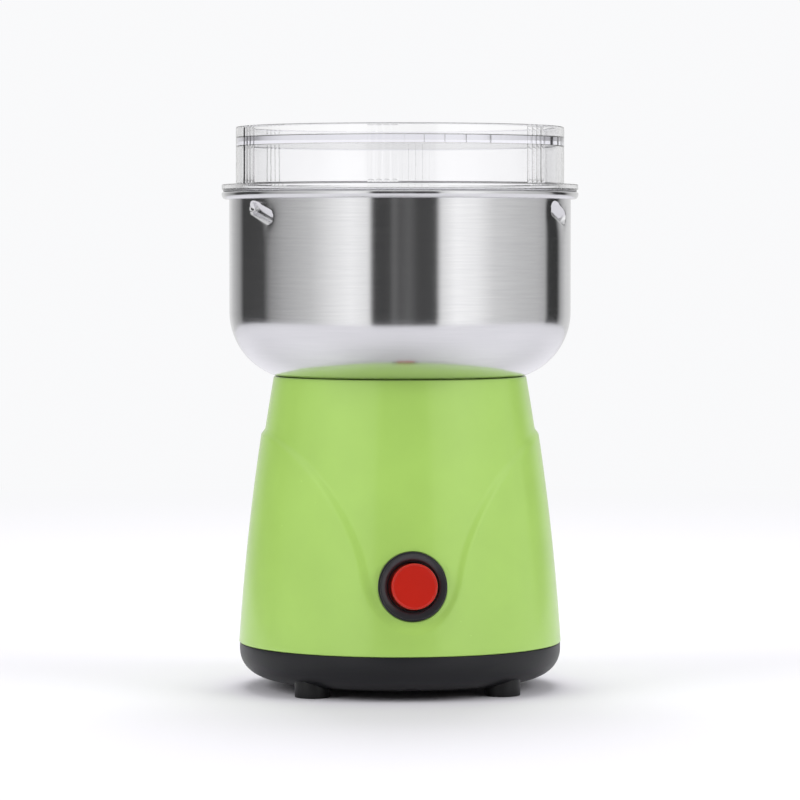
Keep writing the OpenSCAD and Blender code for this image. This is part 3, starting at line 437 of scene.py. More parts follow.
finishes = {
    "housing_plastic": moulded("lime_plastic", (0.372, 0.6, 0.119), 0.33, 0.012, 1.6, 0.03,
                               coat=0.4, specks=0.35),
    "cover_plastic": moulded("black_cover_plastic", (0.0095, 0.0095, 0.0118), 0.36, 0.014, 1.8, 0.1,
                             gloss=0.32),
    "foot_rubber": moulded("foot_rubber", (0.009, 0.009, 0.0095), 0.38, 0.008, 1.2, 0.15, gloss=0.3),
    "steel_fastener": plated_metal("zinc_plate", (0.62, 0.62, 0.63), 0.3),
    "gland_rubber": moulded("gland_rubber", (0.016, 0.016, 0.017), 0.5, 0.012, 1.5, 0.1),
    "bezel_plastic": moulded("bezel_plastic", (0.017, 0.0165, 0.021), 0.33, 0.003, 2.6, 0.06, coat=0.6),
    "cap_plastic": moulded("red_cap_plastic", (0.48, 0.01, 0.002), 0.3, 0.003, 1.5, 0.05,
                           coat=0.6, specks=0.5, gloss=0.28),
    "spring_steel": plated_metal("spring_wire", (0.6, 0.6, 0.62), 0.25),
    "brass": plated_metal("brass_strip", (0.78, 0.6, 0.3), 0.28),
    "bowl_steel": brushed_bowl("brushed_bowl_steel"),
    "washer_rubber": moulded("washer_rubber", (0.02, 0.02, 0.021), 0.6, 0.01, 1.5, 0.1),
    "seal_plastic": moulded("shaft_boss_nylon", (0.02, 0.02, 0.021), 0.45, 0.012, 1.8, 0.1),
    "bracket_metal": plated_metal("cast_aluminium", (0.6, 0.6, 0.61), 0.5, 0.9, 0.03),
    "bracket_plastic": moulded("bracket_nylon", (0.035, 0.035, 0.036), 0.5, 0.02, 1.2, 0.12),
    "bronze": turned_metal("sintered_bronze", (0.6, 0.42, 0.2), 0.42),
    "lamination_steel": laminated("stacked_sheet_steel", (0.25, 0.25, 0.26)),
    "enamelled_copper": wound_copper("enamelled_wire", (0.48, 0.16, 0.05)),
    "commutator_copper": turned_metal("turned_copper", (0.75, 0.42, 0.2), 0.3),
    "carbon": moulded("pressed_carbon", (0.05, 0.05, 0.052), 0.55, 0.03, 2.0, 0.2),
    "shaft_steel": turned_metal("ground_shaft_steel", (0.66, 0.66, 0.67), 0.2),
    "fan_plastic": moulded("natural_nylon", (0.75, 0.75, 0.7), 0.4, 0.01, 1.2, 0.04),
    "blade_steel": turned_metal("polished_blade_steel", (0.74, 0.74, 0.75), 0.16, 1.2, 0.003, 0.05),
    "lid_clear": clear_moulding("clear_styrene", (0.99, 0.99, 1.0), ior=1.5, painted_tint_heights=plate_heights),
    "seal_silicone": clear_moulding("clear_silicone", (0.9, 0.9, 0.92), 0.2, 1.41, 0.02),
}

for row in frame["record"]["subparts"]:
    for material_slot in frame["nodes"][row["node"]].material_slots:
        material_slot.material = finishes[row["material_slot"]]


# ---- Profiles and surfaces ----

def points_at(*coordinates):
    """Coordinates, each an array or a single number, put side by side as points."""
    return np.stack(np.broadcast_arrays(*coordinates), -1)


def rounded(corners, arc, closed=False):
    """A profile from corners (radius, height, fillet): each corner gives way to an arc tangent to both
    of its sides, whose points are the two tangent radii blended by the sine rule."""
    place = np.array([corner[:2] for corner in corners], float)
    runs = []
    for k, corner in enumerate(corners):
        fillet = corner[2] if len(corner) > 2 else 0
        last = not closed and k in (0, len(corners) - 1)
        if last or not fillet:
            runs.append(place[k:k + 1])
            continue
        before, after = place[k - 1] - place[k], place[(k + 1) % len(place)] - place[k]
        before, after = before / np.linalg.norm(before), after / np.linalg.norm(after)
        half = 0.5 * math.acos(np.clip(before @ after, -1, 1))
        middle = before + after
        centre = place[k] + middle / np.linalg.norm(middle) * fillet / math.sin(half)
        first = place[k] + before * fillet / math.tan(half) - centre
        final = place[k] + after * fillet / math.tan(half) - centre
        sweep = math.pi - 2 * half
        share = np.linspace(0, 1, arc + 1)[:, None]
        arm = np.sin((1 - share) * sweep) * first + np.sin(share * sweep) * final
        runs.append(centre + arm / math.sin(sweep))
    return np.concatenate(runs)


def fine(profile, step, guard=0):
    """An open profile with every side longer than step cut into equal stretches. A guard is a short
    stretch at either end of a long side, which keeps the side's own shading flat beside a fillet."""
    runs = []
    for start, end in zip(profile[:-1], profile[1:]):
        length = np.linalg.norm(end - start)
        pieces = max(1, math.ceil(length / step))
        share = np.arange(pieces) / pieces
        if guard and length > 4 * guard:
            share = np.sort(np.concatenate([share, [guard / length, 1 - guard / length]]))
        runs.append(start + (end - start) * share[:, None])
    return np.concatenate([*runs, profile[-1:]])


def quads_of(rows, columns, wrap_rows=False):
    """The four corners of every cell of a grid whose columns run round, turned so that rows up and
    columns left face outwards."""
    row, column = np.meshgrid(np.arange(rows - (not wrap_rows)), np.arange(columns), indexing="ij")
    here, above = row * columns, (row + 1) % rows * columns
    beside = (column + 1) % columns
    return points_at(here + column, here + beside, above + beside, above + column).reshape(-1, 4)


def mesh_from(name, parts):
    """One mesh from (points in mm, faces) parts: their points in a row, and their faces counted on."""
    starts = np.cumsum([0] + [len(points) for points, _ in parts])
    faces = [[start + corner for corner in face] for start, (_, part_faces) in zip(starts, parts)
             for face in part_faces]
    mesh = bpy.data.meshes.new(name)
    mesh.from_pydata((np.concatenate([points for points, _ in parts]) * MM).tolist(), [], faces)
    return mesh


def placed(name, data):
    """A new object in the scene that holds a mesh, a lamp or a camera."""
    made = bpy.data.objects.new(name, data)
    bpy.context.scene.collection.objects.link(made)
    return made


def piece(name, parts, body, slot, nodes, smooth_to=32):
    """A mesh object from parts, that rides a body and stands for the nodes. Edges that turn more than
    smooth_to degrees stay sharp."""
    mesh = mesh_from(name, parts)
    mesh.materials.append(finishes[slot])
    mesh.polygons.foreach_set("use_smooth", np.ones(len(mesh.polygons), bool))
    mesh.set_sharp_from_angle(angle=math.radians(smooth_to))
    made = placed(name, mesh)
    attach(made, body)
    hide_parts(*nodes)
    return made


def turned(profile, columns, bend=None, closed=False):
    """A profile of (radius, height) carried round the Z axis: x = r cos a, y = r sin a. columns is a
    count or an array of angles. bend(r, z, a) may move r and z. An open profile starts and ends on the
    axis, where one point closes it."""
    angles = np.arange(columns) * TAU / columns if np.isscalar(columns) else columns
    ring = profile if closed else profile[1:-1]
    r, a = np.meshgrid(ring[:, 0], angles, indexing="ij")
    z = np.meshgrid(ring[:, 1], angles, indexing="ij")[0]
    if bend:
        r, z = bend(r, z, a)
    points = points_at(r * np.cos(a), r * np.sin(a), z).reshape(-1, 3)
    rows, count = len(ring), len(angles)
    faces = quads_of(rows, count, closed).tolist()
    if not closed:
        here = np.arange(count)
        beside = (here + 1) % count
        top = (rows - 1) * count
        faces += points_at(rows * count, beside, here).tolist()
        faces += points_at(rows * count + 1, top + here, top + beside).tolist()
        points = np.concatenate([points, points_at(0, 0, profile[[0, -1], 1])])
    return points, faces


def stacked(loops):
    """Equal loops of points laid one on another, with a face across the first and the last."""
    rows, count = loops.shape[:2]
    faces = quads_of(rows, count).tolist()
    faces += [list(reversed(range(count))), list(range((rows - 1) * count, rows * count))]
    return loops.reshape(-1, 3), faces


def carried(path, radius, sides=10):
    """A round wire: a circle of that radius carried along path, square to it, and closed by its ends."""
    ahead = np.gradient(path, axis=0)
    ahead /= np.linalg.norm(ahead, axis=1, keepdims=True)
    side = np.cross(ahead, [0.0, 0.0, 1.0])
    side /= np.linalg.norm(side, axis=1, keepdims=True)
    up = np.cross(side, ahead)
    a = np.arange(sides) * TAU / sides
    ring = radius * (np.cos(a)[None, :, None] * side[:, None] + np.sin(a)[None, :, None] * up[:, None])
    points, faces = stacked(path[:, None] + ring)
    return points, [face[::-1] for face in faces]


def moved(part, turn=None, shift=(0, 0, 0)):
    """A part's points turned by a 3 x 3 matrix and then shifted."""
    points, faces = part
    if turn is not None:
        points = points @ np.array(turn, float).T
    return points + np.array(shift, float), faces


def about_z(angle):
    """Turn about the shaft by an angle in radians."""
    c, s = math.cos(angle), math.sin(angle)
    return [[c, -s, 0], [s, c, 0], [0, 0, 1]]


def combine(target, operation, parts):
    """Adds closed parts, which stand clear of each other, to a piece or takes them out of it, by one
    exact Boolean, and keeps the result as the piece's mesh."""
    tool = placed("tool", mesh_from("tool", parts))
    modifier = target.modifiers.new("combine", "BOOLEAN")
    modifier.operation = operation
    modifier.object = tool
    modifier.solver = "EXACT"
    seen = target.evaluated_get(bpy.context.evaluated_depsgraph_get())
    result = bpy.data.meshes.new_from_object(seen)
    target.modifiers.clear()
    target.data = result
    target.data.name = target.name
    bpy.data.objects.remove(tool)


def prism(outline, low, high):
    """A closed outline, counted anticlockwise, carried straight up from low to high."""
    return stacked(np.stack([points_at(*outline.T, z) for z in (low, high)]))


def stadium(length, width, points=32):
    """Outline of a bar along X with round ends: a circle whose halves are drawn apart."""
    turn = (np.arange(points) + 0.5) * TAU / points
    apart = np.sign(np.cos(turn)) * (length - width) / 2
    return points_at(apart + width / 2 * np.cos(turn), width / 2 * np.sin(turn))


def disc(radius, low, high, columns=32):
    """A closed round bar from low to high."""
    return turned(np.array([[0, low], [radius, low], [radius, high], [0, high]]), columns)


# ---- Housing ----

def skirt_at(z):
    """Radius of the housing's skirt: a slope at the seam that grows evenly with height."""
    t = z - seam_z
    return skirt_r - skirt_slope * t - skirt_curve * t ** 2


def step_at(z):
    """Depth of the panels under the skirt: a third of the full step low down, all of it at the neck."""
    return panel_step * np.clip(low_step + (z - seam_z - step_grows_from) / step_grows_over, low_step, 1)


def panel_half(t):
    """Half-width of a panel at share t of its height: a round bottom, then a flare into the neck."""
    bottom = panel_half_w * np.sqrt(1 - (1 - np.minimum(1, t / panel_round)) ** 2)
    u = np.maximum(0, t - panel_flare_from)
    return bottom + panel_flare * u ** 1.5 + neck_flare * u ** 6


def panel_depth(x, z):
    """How far a point of the side lies inside a panel or the neck, in millimetres, below 0 outside: its
    distance, seen from the front, from the panel's outline and the skirt's level top edge beside it."""
    share = np.linspace(0, 1, 90) ** 1.6
    rise = skirt_edge_h - panel_bottom_h
    panel = points_at(panel_half(share), panel_bottom_h + rise * share)
    line = np.concatenate([panel, [[2 * skirt_r, skirt_edge_h]]])
    h = z - seam_z
    start, along = line[:-1], np.diff(line, axis=0)
    point = points_at(np.abs(x), h)[:, None, :]
    near = np.clip(((point - start) * along).sum(-1) / (along ** 2).sum(-1), 0, 1)
    distance = np.linalg.norm(point - start - near[..., None] * along, axis=-1).min(1)
    t = np.clip((h - panel_bottom_h) / rise, 0, 1)
    inside = (h > skirt_edge_h) | ((np.abs(x) < panel_half(t)) & (h > panel_bottom_h))
    return np.where(inside, distance, -distance)


def at_switch(part):
    """A part made about Z put on the bezel's seat, its Z out of the panel along the press axis."""
    out = -press_axis
    up = np.cross(out, [1.0, 0.0, 0.0])
    wall_r = skirt_at(seam_z + switch_h) - step_at(seam_z + switch_h)
    sink = wall_r - math.sqrt(wall_r ** 2 - bezel_r ** 2)
    seat = np.array([0.0, -wall_r, seam_z + switch_h]) - out * sink
    return moved(part, np.stack([[1.0, 0.0, 0.0], up, out], -1), seat)


def at_gland(part):
    """A part made about Z laid along +Y on the gland's axis."""
    height = (gland_low[2] + gland_high[2]) / 2
    return moved(part, [[-1, 0, 0], [0, 0, 1], [0, 1, 0]], (0, 0, height))


def round_by(part, angles, ring):
    """Copies of a part set on a ring round the shaft, each turned to face outwards."""
    return [moved(moved(part, shift=(ring, 0, 0)), about_z(angle)) for angle in angles]


def switch_seat():
    """The block of wall behind the bezel: a disc whose face follows the wall where it is past the seat."""
    wall_r = skirt_at(seam_z + switch_h) - panel_step
    sunk = 0.1

    def bend(r, z, a):
        drop = np.maximum(0, (r * np.cos(a)) ** 2 - bezel_r ** 2) / (2 * wall_r)
        return r, np.where(z > -seat_wall / 2, z - drop - sunk, z)

    face = points_at(np.linspace(0, nut_pocket_r, 9)[::-1], 0)
    return turned(np.concatenate([[[0, -seat_wall], [nut_pocket_r, -seat_wall]], face]), 96, bend)


def screw_post():
    """A post for a base screw with its web out to the wall: a circle that runs on as a narrow bar."""
    into_wall = 0.8
    web_end = skirt_r - panel_step - housing_wall + into_wall - screw_ring
    start = math.asin(post_web_t / 2 / post_r)
    turn = np.linspace(start, TAU - start, 40)
    circle = points_at(post_r * np.cos(turn), post_r * np.sin(turn))
    web = [[web_end, -post_web_t / 2], [web_end, post_web_t / 2]]
    return prism(np.concatenate([circle, web]), seam_z, seam_z + post_h)


def make_housing():
    """The housing's closed shell: outer side, neck edge, dish under the bowl, deck and inner wall. The
    outer side drops back by the step, eased over step_soft across each panel's outline."""
    bowl_flat_r = bowl_r - corner_r
    dish_r = corner_r + dish_gap
    corner_z = bowl_z + corner_r
    neck_r = skirt_at(housing_high[2]) - panel_step
    edge_a = math.asin((neck_r - neck_round - bowl_flat_r) / dish_r)
    top_z = corner_z - dish_r * math.cos(edge_a)
    deck_z = bowl_z - deck_t
    foot_round = 0.45
    foot_a = np.radians([-90, -60, -30])
    foot = points_at(skirt_r + foot_round * (np.cos(foot_a) - 1), seam_z + foot_round * (1 + np.sin(foot_a)))
    side_z = np.linspace(seam_z + foot_round, top_z - neck_round, 152)
    side = points_at(skirt_at(side_z), side_z)
    lip_a = np.radians(np.arange(15, 91, 15))
    lip_r = skirt_at(top_z - neck_round) - neck_round
    lip = points_at(lip_r + neck_round * np.cos(lip_a), top_z - neck_round + neck_round * np.sin(lip_a))
    dish_a = np.linspace(edge_a, 0, 8)
    dish = points_at(bowl_flat_r + dish_r * np.sin(dish_a), corner_z - dish_r * np.cos(dish_a))
    inner_z = np.linspace(deck_z, seam_z, 24)
    inner = points_at(skirt_at(inner_z) - panel_step - housing_wall, inner_z)
    middle = np.array([[bowl_flat_r - 2, bowl_z], [hub_r, bowl_z], [hub_r, deck_z]])
    profile = np.concatenate([foot, side, lip, dish, middle, inner])
    outer_rows = len(foot) + len(side) + len(lip)

    def bend(r, z, a):
        r_out, z_out = r[:outer_rows], z[:outer_rows]
        across = r_out * np.cos(a[:outer_rows])
        depth = panel_depth(across.ravel(), z_out.ravel()).reshape(r_out.shape)
        share = np.clip(depth / step_soft + 0.5, 0, 1)
        r[:outer_rows] = r_out - step_at(z_out) * share ** 2 * (3 - 2 * share)
        return r, z

    outside = turned(profile, 384, bend, closed=True)
    shell = piece("housing_shell", [outside], "root", "housing_plastic", ["housing"])
    combine(shell, "UNION", round_by(screw_post(), screw_angles, screw_ring))
    combine(shell, "UNION", [at_switch(switch_seat())])
    behind, before = -seat_wall - 8, 10
    hole_r, bed_r = barrel_r + fit_gap, bezel_r + 0.25
    switch_hole = np.array([
        [0, behind], [nut_pocket_r, behind], [nut_pocket_r, -seat_wall], [hole_r, -seat_wall],
        [hole_r, 0], [bed_r, 0], [bed_r, before], [0, before]])
    combine(shell, "DIFFERENCE", [
        at_switch(turned(switch_hole, 128)),
        at_gland(disc(gland_neck_r, skirt_r - 10, skirt_r + 5, 96)),
        *round_by(disc(post_hole_r, seam_z - 1, seam_z + post_h - 1), screw_angles, screw_ring),
        *round_by(disc(deck_hole_r, deck_z - 1, bowl_z + 1), deck_screw_angles, deck_screw_ring),
    ])


# ---- Base cover ----

def cover_edge(inset, low_a, high_a, points):
    """The cover's rounded edge, a quarter superellipse between two angles: the width from the flat grows
    as cos a and the drop from the band as sin a, both to the power 2 / fullness."""
    a = np.linspace(low_a, high_a, points)
    flat_r = cover_r - cover_round_w
    radius = flat_r + (cover_round_w - inset) * np.cos(a) ** (2 / cover_fullness)
    height = band_z - (band_z - cover_low[2] - inset) * np.sin(a) ** (2 / cover_fullness)
    return points_at(radius, height)


def make_cover():
    """The base cover: rounded shell with a lip inside the housing, screw columns, foot pockets and a
    round field of vent slots."""
    top_round = 0.35
    lip_top = cover_high[2]
    lip_r = skirt_at(lip_top) - panel_step - housing_wall - fit_gap
    floor_z = cover_low[2] + cover_t
    outside = cover_edge(0, math.pi / 2, 0, 44)
    brim = rounded([(cover_r, band_z), (cover_r, seam_z, top_round), (lip_r, seam_z)], 4)[1:]
    lip = np.array([[lip_r, lip_top], [lip_r - cover_lip_t, lip_top], [lip_r - cover_lip_t, seam_z - 2]])
    inside = cover_edge(cover_t, math.radians(12), math.pi / 2, 20)
    axis = np.array([[0, cover_low[2]], [0, floor_z]])
    profile = np.concatenate([axis[:1], outside, brim, lip, inside, axis[1:]])
    shell = piece("base_cover_shell", [turned(profile, 288)], "root", "cover_plastic", ["base_cover"])
    foot_angles = np.radians([45, 135, 225, 315])
    into_skin = 0.6

    def under_cover(r, z, a):
        ring = np.hypot(foot_ring_r + r * np.cos(a), r * np.sin(a))
        reach = np.clip((ring - cover_r + cover_round_w) / cover_round_w, 0, 1)
        skin = band_z - (band_z - cover_low[2]) * (1 - reach ** cover_fullness) ** (1 / cover_fullness)
        return r, np.maximum(z, skin + into_skin)

    def bore(wide_r, step_z, narrow_r, top_z, columns):
        """A round hole from below: wide up to step_z, then narrow up to top_z."""
        steps = [[0, 0], [wide_r, 0], [wide_r, step_z], [narrow_r, step_z], [narrow_r, top_z], [0, top_z]]
        return turned(np.array(steps), columns)

    block_r, block_top = foot_r + pocket_wall, foot_seat_z + pocket_wall
    underside = points_at(np.linspace(0, block_r, 12), foot_seat_z - 1)
    block = turned(np.concatenate([underside, [[block_r, block_top], [0, block_top]]]), 96, under_cover)
    combine(shell, "UNION", [
        *round_by(block, foot_angles, foot_ring_r),
        *round_by(disc(screw_column_r, screw_head_top - 2, seam_z, 48), screw_angles, screw_ring),
    ])
    slots = []
    for x in vent_pitch * np.arange(-3, 4):
        outline = stadium(2 * math.sqrt(vent_r ** 2 - x ** 2), vent_w)
        slots.append(moved(prism(outline, 0, floor_z + 1), about_z(math.pi / 2), (x, 0, 0)))
    pocket = bore(foot_r, foot_seat_z, foot_stem_r, seam_z, 96)
    recess = bore(screw_head_r, screw_head_top, screw_hole_r, lip_top, 64)
    combine(shell, "DIFFERENCE", [
        *round_by(pocket, foot_angles, foot_ring_r), *round_by(recess, screw_angles, screw_ring), *slots])
    half = 3.8
    gap = prism(np.array([[-3, -half], [4, -half], [4, half], [-3, half]]), seam_z, lip_top + 1)
    combine(shell, "DIFFERENCE", round_by(gap, screw_angles, lip_r))


make_housing()
make_cover()


# ---- Bowl ----

def ramp_dent(z, a):
    """How far the bowl's wall is pressed in: at each ramp a slanted bar with round ends, whose depth
    grows evenly from its upper edge to a groove near the lower one, inside a shallow pull of the sheet."""
    dent = np.zeros_like(z)
    for ramp_a in ramp_angles:
        round_way = (np.mod(a - ramp_a + math.pi, TAU) - math.pi) * bowl_r
        rise = z - (rim_z - ramp_drop)
        along = round_way * math.cos(ramp_slope) - rise * math.sin(ramp_slope)
        across = round_way * math.sin(ramp_slope) + rise * math.cos(ramp_slope)
        beyond = np.maximum(np.abs(along) - (ramp_l - ramp_w) / 2, 0)
        half = ramp_w / 2 + ramp_fall
        above, below = (half - across) / (half + groove), (half + across) / (half - groove)
        end = (half - np.hypot(beyond, across)) / ramp_end
        core = np.clip(np.minimum(np.minimum(above, below), end), 0, 1)
        pull = np.exp(-(beyond / pull_along) ** 2 - (across / pull_across) ** 2)
        dent = np.maximum(dent, (ramp_depth - sheet_pull) * core + sheet_pull * pull)
    return dent


def make_bowl():
    """The bowl's sheet: flat floor, round corner, straight wall and a bead of two half ellipses outside,
    then the curl and the same wall inside. Columns crowd together at the ramps pressed into the wall."""
    flat_r = bowl_r - corner_r
    corner_z = bowl_z + corner_r
    bead_above = 0.7
    bead_below = 2 * bead_r - bead_above
    bead_z = rim_z - bead_above
    bead_ring_r = bowl_r + bead_r
    curl_r = bead_r + sheet_t
    low_a = np.radians(np.linspace(-90, 0, 30))
    outside = points_at(flat_r + corner_r * np.cos(low_a), corner_z + corner_r * np.sin(low_a))
    ramp_zone = rim_z - ramp_drop
    wall_z = np.concatenate([
        np.linspace(corner_z + 2, ramp_zone - 6, 10), np.linspace(ramp_zone - 5.5, rim_z - bead_r * 1.6, 46)])
    wall = points_at(bowl_r, wall_z)
    bead_a = np.radians(np.linspace(-150, 90, 22))
    bead_rise = np.where(bead_a > 0, bead_above, bead_below) * np.sin(bead_a)
    bead = points_at(bead_ring_r + (bead_r - 0.02) * np.cos(bead_a), bead_z + bead_rise)
    curl_a = np.radians(np.linspace(100, 180, 8))
    curl = points_at(bead_ring_r + curl_r * np.cos(curl_a), rim_z - curl_r + curl_r * np.sin(curl_a))
    inside = points_at(bowl_r - sheet_t, wall_z[::-1] - 0.4)
    in_r = corner_r - sheet_t
    in_a = low_a[::-1]
    floor = points_at(flat_r + in_r * np.cos(in_a), corner_z + in_r * np.sin(in_a))
    below = fine(np.concatenate([[[bowl_hole_r, bowl_z]], outside]), 4)
    above = fine(np.concatenate([floor, [[bowl_hole_r, bowl_z + sheet_t]]]), 4)
    profile = np.concatenate([below, wall, bead, curl, inside, above])
    columns, crowding, crowd_half = 440, 2.4, 0.17
    even = np.linspace(0, TAU, 1441)
    crowd = 1 + crowding * sum(
        np.exp(-(((even - ramp_a + math.pi) % TAU - math.pi) / crowd_half) ** 4) for ramp_a in ramp_angles)
    share = np.concatenate([[0], np.cumsum((crowd[1:] + crowd[:-1]) / 2)])
    angles = np.interp(np.arange(columns) / columns * share[-1], share, even)

    def bend(r, z, a):
        upright = np.clip((z - corner_z) / 4, 0, 1) * np.clip((rim_z - 3.0 - z) / 1.0, 0, 1)
        return r - ramp_dent(z, a) * upright, z

    sheet = turned(profile, angles, bend, closed=True)
    piece("bowl_sheet", [sheet], "root", "bowl_steel", ["bowl"], 40)


make_bowl()


# ---- Lid ----

def make_lid():
    """The lid: top plate sunk in the wall, flange over the bowl's bead and a skirt inside it. Grip ribs
    stand on the wall in groups, each a half ellipse in plan, and spread where they run down to the flange."""
    ramp_clear = 0.6
    skirt_out = bowl_r - sheet_t - ramp_depth - ramp_clear
    skirt_in = skirt_out - skirt_wall
    flange_r = lid_high[0]
    wall_in = lid_r - lid_wall
    plate_low, plate_top = plate_heights
    flange_top = flange_z + lid_flange_t
    flange_low = flange_z + 0.05  # just clear of the silicone ring, so that no two clear faces coincide
    skirt_low = lid_low[2]
    corners = [
        (0, plate_low), (wall_in, plate_low, 0.3), (wall_in, flange_z - 0.6), (skirt_in, flange_z - 1.6),
        (skirt_in, skirt_low, 0.4), (skirt_out, skirt_low, 0.4), (skirt_out, flange_low, 0.2),
        (flange_r, flange_low, 0.25), (flange_r, flange_top, 0.25), (lid_r, flange_top, 0.3),
        *[(lid_r, flange_top + step) for step in (0.5, 0.9, 1.4, 2.1, 3.2, 5.0)],
        (lid_r, lid_top_z - 1.0), (lid_r, lid_top_z - 0.8), (lid_r, lid_top_z, 0.4),
        (wall_in, lid_top_z, 0.4), (wall_in, plate_top, 0.3), (0, plate_top),
    ]
    profile = fine(rounded(corners, 4), 8, 0.15)
    half = math.asin(rib_pitch / 2 / lid_r)
    across_rib = np.array([-1, -0.985, -0.93, -0.8, -0.6, -0.4, -0.2, 0, 0.2, 0.4, 0.6, 0.8, 0.93, 0.985])
    group = (np.arange(-group_ribs, group_ribs, 2)[:, None] + 1 + across_rib).ravel() * half
    group = np.append(group, group_ribs * half)
    apart = TAU / rib_groups
    fronts = 1.5 * math.pi - rib_clock + apart * np.arange(rib_groups)
    ribbed = (fronts[:, None] + group).ravel() % TAU
    plain_columns = 22
    gap = (apart - 2 * group[-1]) * np.arange(1, plain_columns) / plain_columns
    plain = (fronts[:, None] + group[-1] + gap).ravel() % TAU
    angles = np.sort(np.concatenate([ribbed, plain]))

    def bend(r, z, a):
        centred = (a - fronts[0] + apart / 2) % apart - apart / 2
        place = (centred / half + group_ribs) % 2 - 1
        wave = np.sqrt(np.clip(1 - place ** 2, 0, 1)) * (np.abs(centred) < half * group_ribs)
        on_wall = np.clip((r - lid_r + 0.1) / 0.1, 0, 1) * np.clip((lid_r + 0.5 - r) / 0.3, 0, 1)
        up = np.clip((z - flange_top) / 0.3, 0, 1) * np.clip((lid_top_z - 0.4 - z) / 0.4, 0, 1)
        flare = 1 + 0.8 * np.exp(-np.maximum(z - flange_top, 0) / 1.3)
        return r + wave * on_wall * up * rib_h * flare, z

    dome = turned(profile, angles, bend)
    lugs = [lug(a - lid_turn, skirt_out) for a in ramp_angles]
    piece("lid_moulding", [dome, *lugs], "lid", "lid_clear", ["lid"], 28)


def lug(angle, wall_r):
    """A slanted round-ended bar on the outside of the lid's skirt, that runs under a ramp of the bowl: a
    stadium in three layers outwards, the last one drawn in as a chamfer."""
    outline = stadium(lug_l, lug_w, 48)
    c, s = math.cos(ramp_slope), math.sin(ramp_slope)
    height = rim_z - ramp_drop - (ramp_w / 2 + ramp_fall + lug_w / 2 + slide_gap) / c
    layers = []
    for radius, share in ((wall_r - 0.7, 1.0), (wall_r + lug_t - 0.3, 1.0), (wall_r + lug_t, 0.8)):
        flat = outline * share @ np.array([[c, -s], [s, c]])
        layers.append(points_at(radius, flat[:, 0], flat[:, 1] + height))
    return moved(stacked(np.stack(layers)), about_z(angle))


make_lid()


# ---- Switch, feet and gland ----

def make_switch():
    """Bezel and cap as turned profiles: the bezel's dished face falls a little from a fine step round its
    outer edge to its opening, over a deep well, and the cap's flat face lies inside a fine rim."""
    low = -barrel_l
    lip_low, lip_high = -2.1, -0.7
    lip_r = cap_r + slide_gap
    face_fall = 0.4
    face_r, step_z = bezel_r - 0.5, bezel_t - 1.4
    bezel = rounded([
        (0, low), (barrel_r, low, 0.4), (barrel_r, 0), (bezel_r, 0), (bezel_r, step_z, 0.15),
        (face_r, step_z), (face_r, bezel_t, 0.1), (bezel_hole_r, bezel_t - face_fall, 0.3),
        (bezel_hole_r, lip_high), (lip_r, lip_high, 0.3), (lip_r, lip_low), (bezel_hole_r, lip_low),
        (bezel_hole_r, low + barrel_floor_t), (0, low + barrel_floor_t)], 6)
    piece("switch_bezel", [at_switch(turned(bezel, 192))], "root", "bezel_plastic", ["switch_body"])
    flange_t = 1.5
    flange_low = lip_low - slide_gap - flange_t
    flange_r, flange_top = bezel_hole_r - slide_gap, flange_low + flange_t
    hollow_z, hollow_r = cap_front - cap_face_t, cap_r - 1.7
    face_z = cap_front - 0.12
    cap = rounded([
        (0, hollow_z), (hollow_r, hollow_z, 0.3), (hollow_r, flange_low), (flange_r, flange_low),
        (flange_r, flange_top), (cap_r, flange_top), (cap_r, cap_front, 0.3), (cap_r - 0.5, cap_front, 0.15),
        (cap_r - 0.65, face_z, 0.1), (0, face_z)], 5)
    off_centre = 0.22
    rest = moved(turned(cap, 192), shift=(off_centre, 0.0, 0.0))
    piece("switch_cap", [at_switch(rest)], "button", "cap_plastic", ["switch_button"])


def coil(radius, wire, length, turns):
    """A spring wire along a helix: the angle grows evenly, and the rise eases in and out of a flat turn
    at either end."""
    share = np.linspace(0, 1, 24 * turns + 1)
    a = TAU * turns * share
    flat, lean = 0.7 / turns, 0.15
    eased = np.clip((share - flat) / (1 - 2 * flat), 0, 1)
    rise = (1 - lean) * eased + lean * share
    path = points_at(radius * np.cos(a), radius * np.sin(a), wire / 2 + (length - wire) * rise)
    return carried(path, wire / 2)


def make_springs():
    """The switch's spring, a coil from the barrel's floor up to the cap's hollow, and the springs
    that hold the carbon brushes against the commutator."""
    low = barrel_floor_t - barrel_l
    length = cap_front - cap_face_t - low
    wire = coil(radius=4.2, wire=0.6, length=length, turns=6)
    part = at_switch(moved(wire, shift=(0, 0, low)))
    spring = piece("switch_spring_coil", [part], "root", "spring_steel", ["switch_spring"])
    anchor = at_switch((np.array([[0.0, 0.0, low]]), []))[0][0] * MM
    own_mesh(spring)
    for node in ("brush_spring_left", "brush_spring_right"):
        first, last = node_box(node)
        reach = last[0] - first[0]
        height = (first[2] + last[2]) / 2
        wire = coil(radius=1.7, wire=0.5, length=reach, turns=4)
        part = moved(wire, [[0, 0, 1], [0, 1, 0], [-1, 0, 0]], (first[0], 0, height))
        piece(node + "_coil", [part], "root", "spring_steel", [node])


def make_feet():
    """Four rubber feet: a round pad with soft edges under the cover, and a stem with a barbed head."""
    for node in ("foot_front_left", "foot_front_right", "foot_rear_left", "foot_rear_right"):
        low, high = node_box(node)
        radius = (high[0] - low[0]) / 2
        stem, head = foot_stem_r, foot_seat_z + pocket_wall
        profile = rounded([
            (0, 0), (radius, 0, 0.3), (radius, foot_seat_z, 0.1), (stem, foot_seat_z), (stem, head),
            (stem + 0.9, head, 0.2), (stem - 0.6, high[2], 0.3), (0, high[2])], 5)
        centre = (low + high) / 2
        part = moved(turned(profile, 96), shift=(centre[0], centre[1], 0))
        piece(node + "_pad", [part], "root", "foot_rubber", [node])


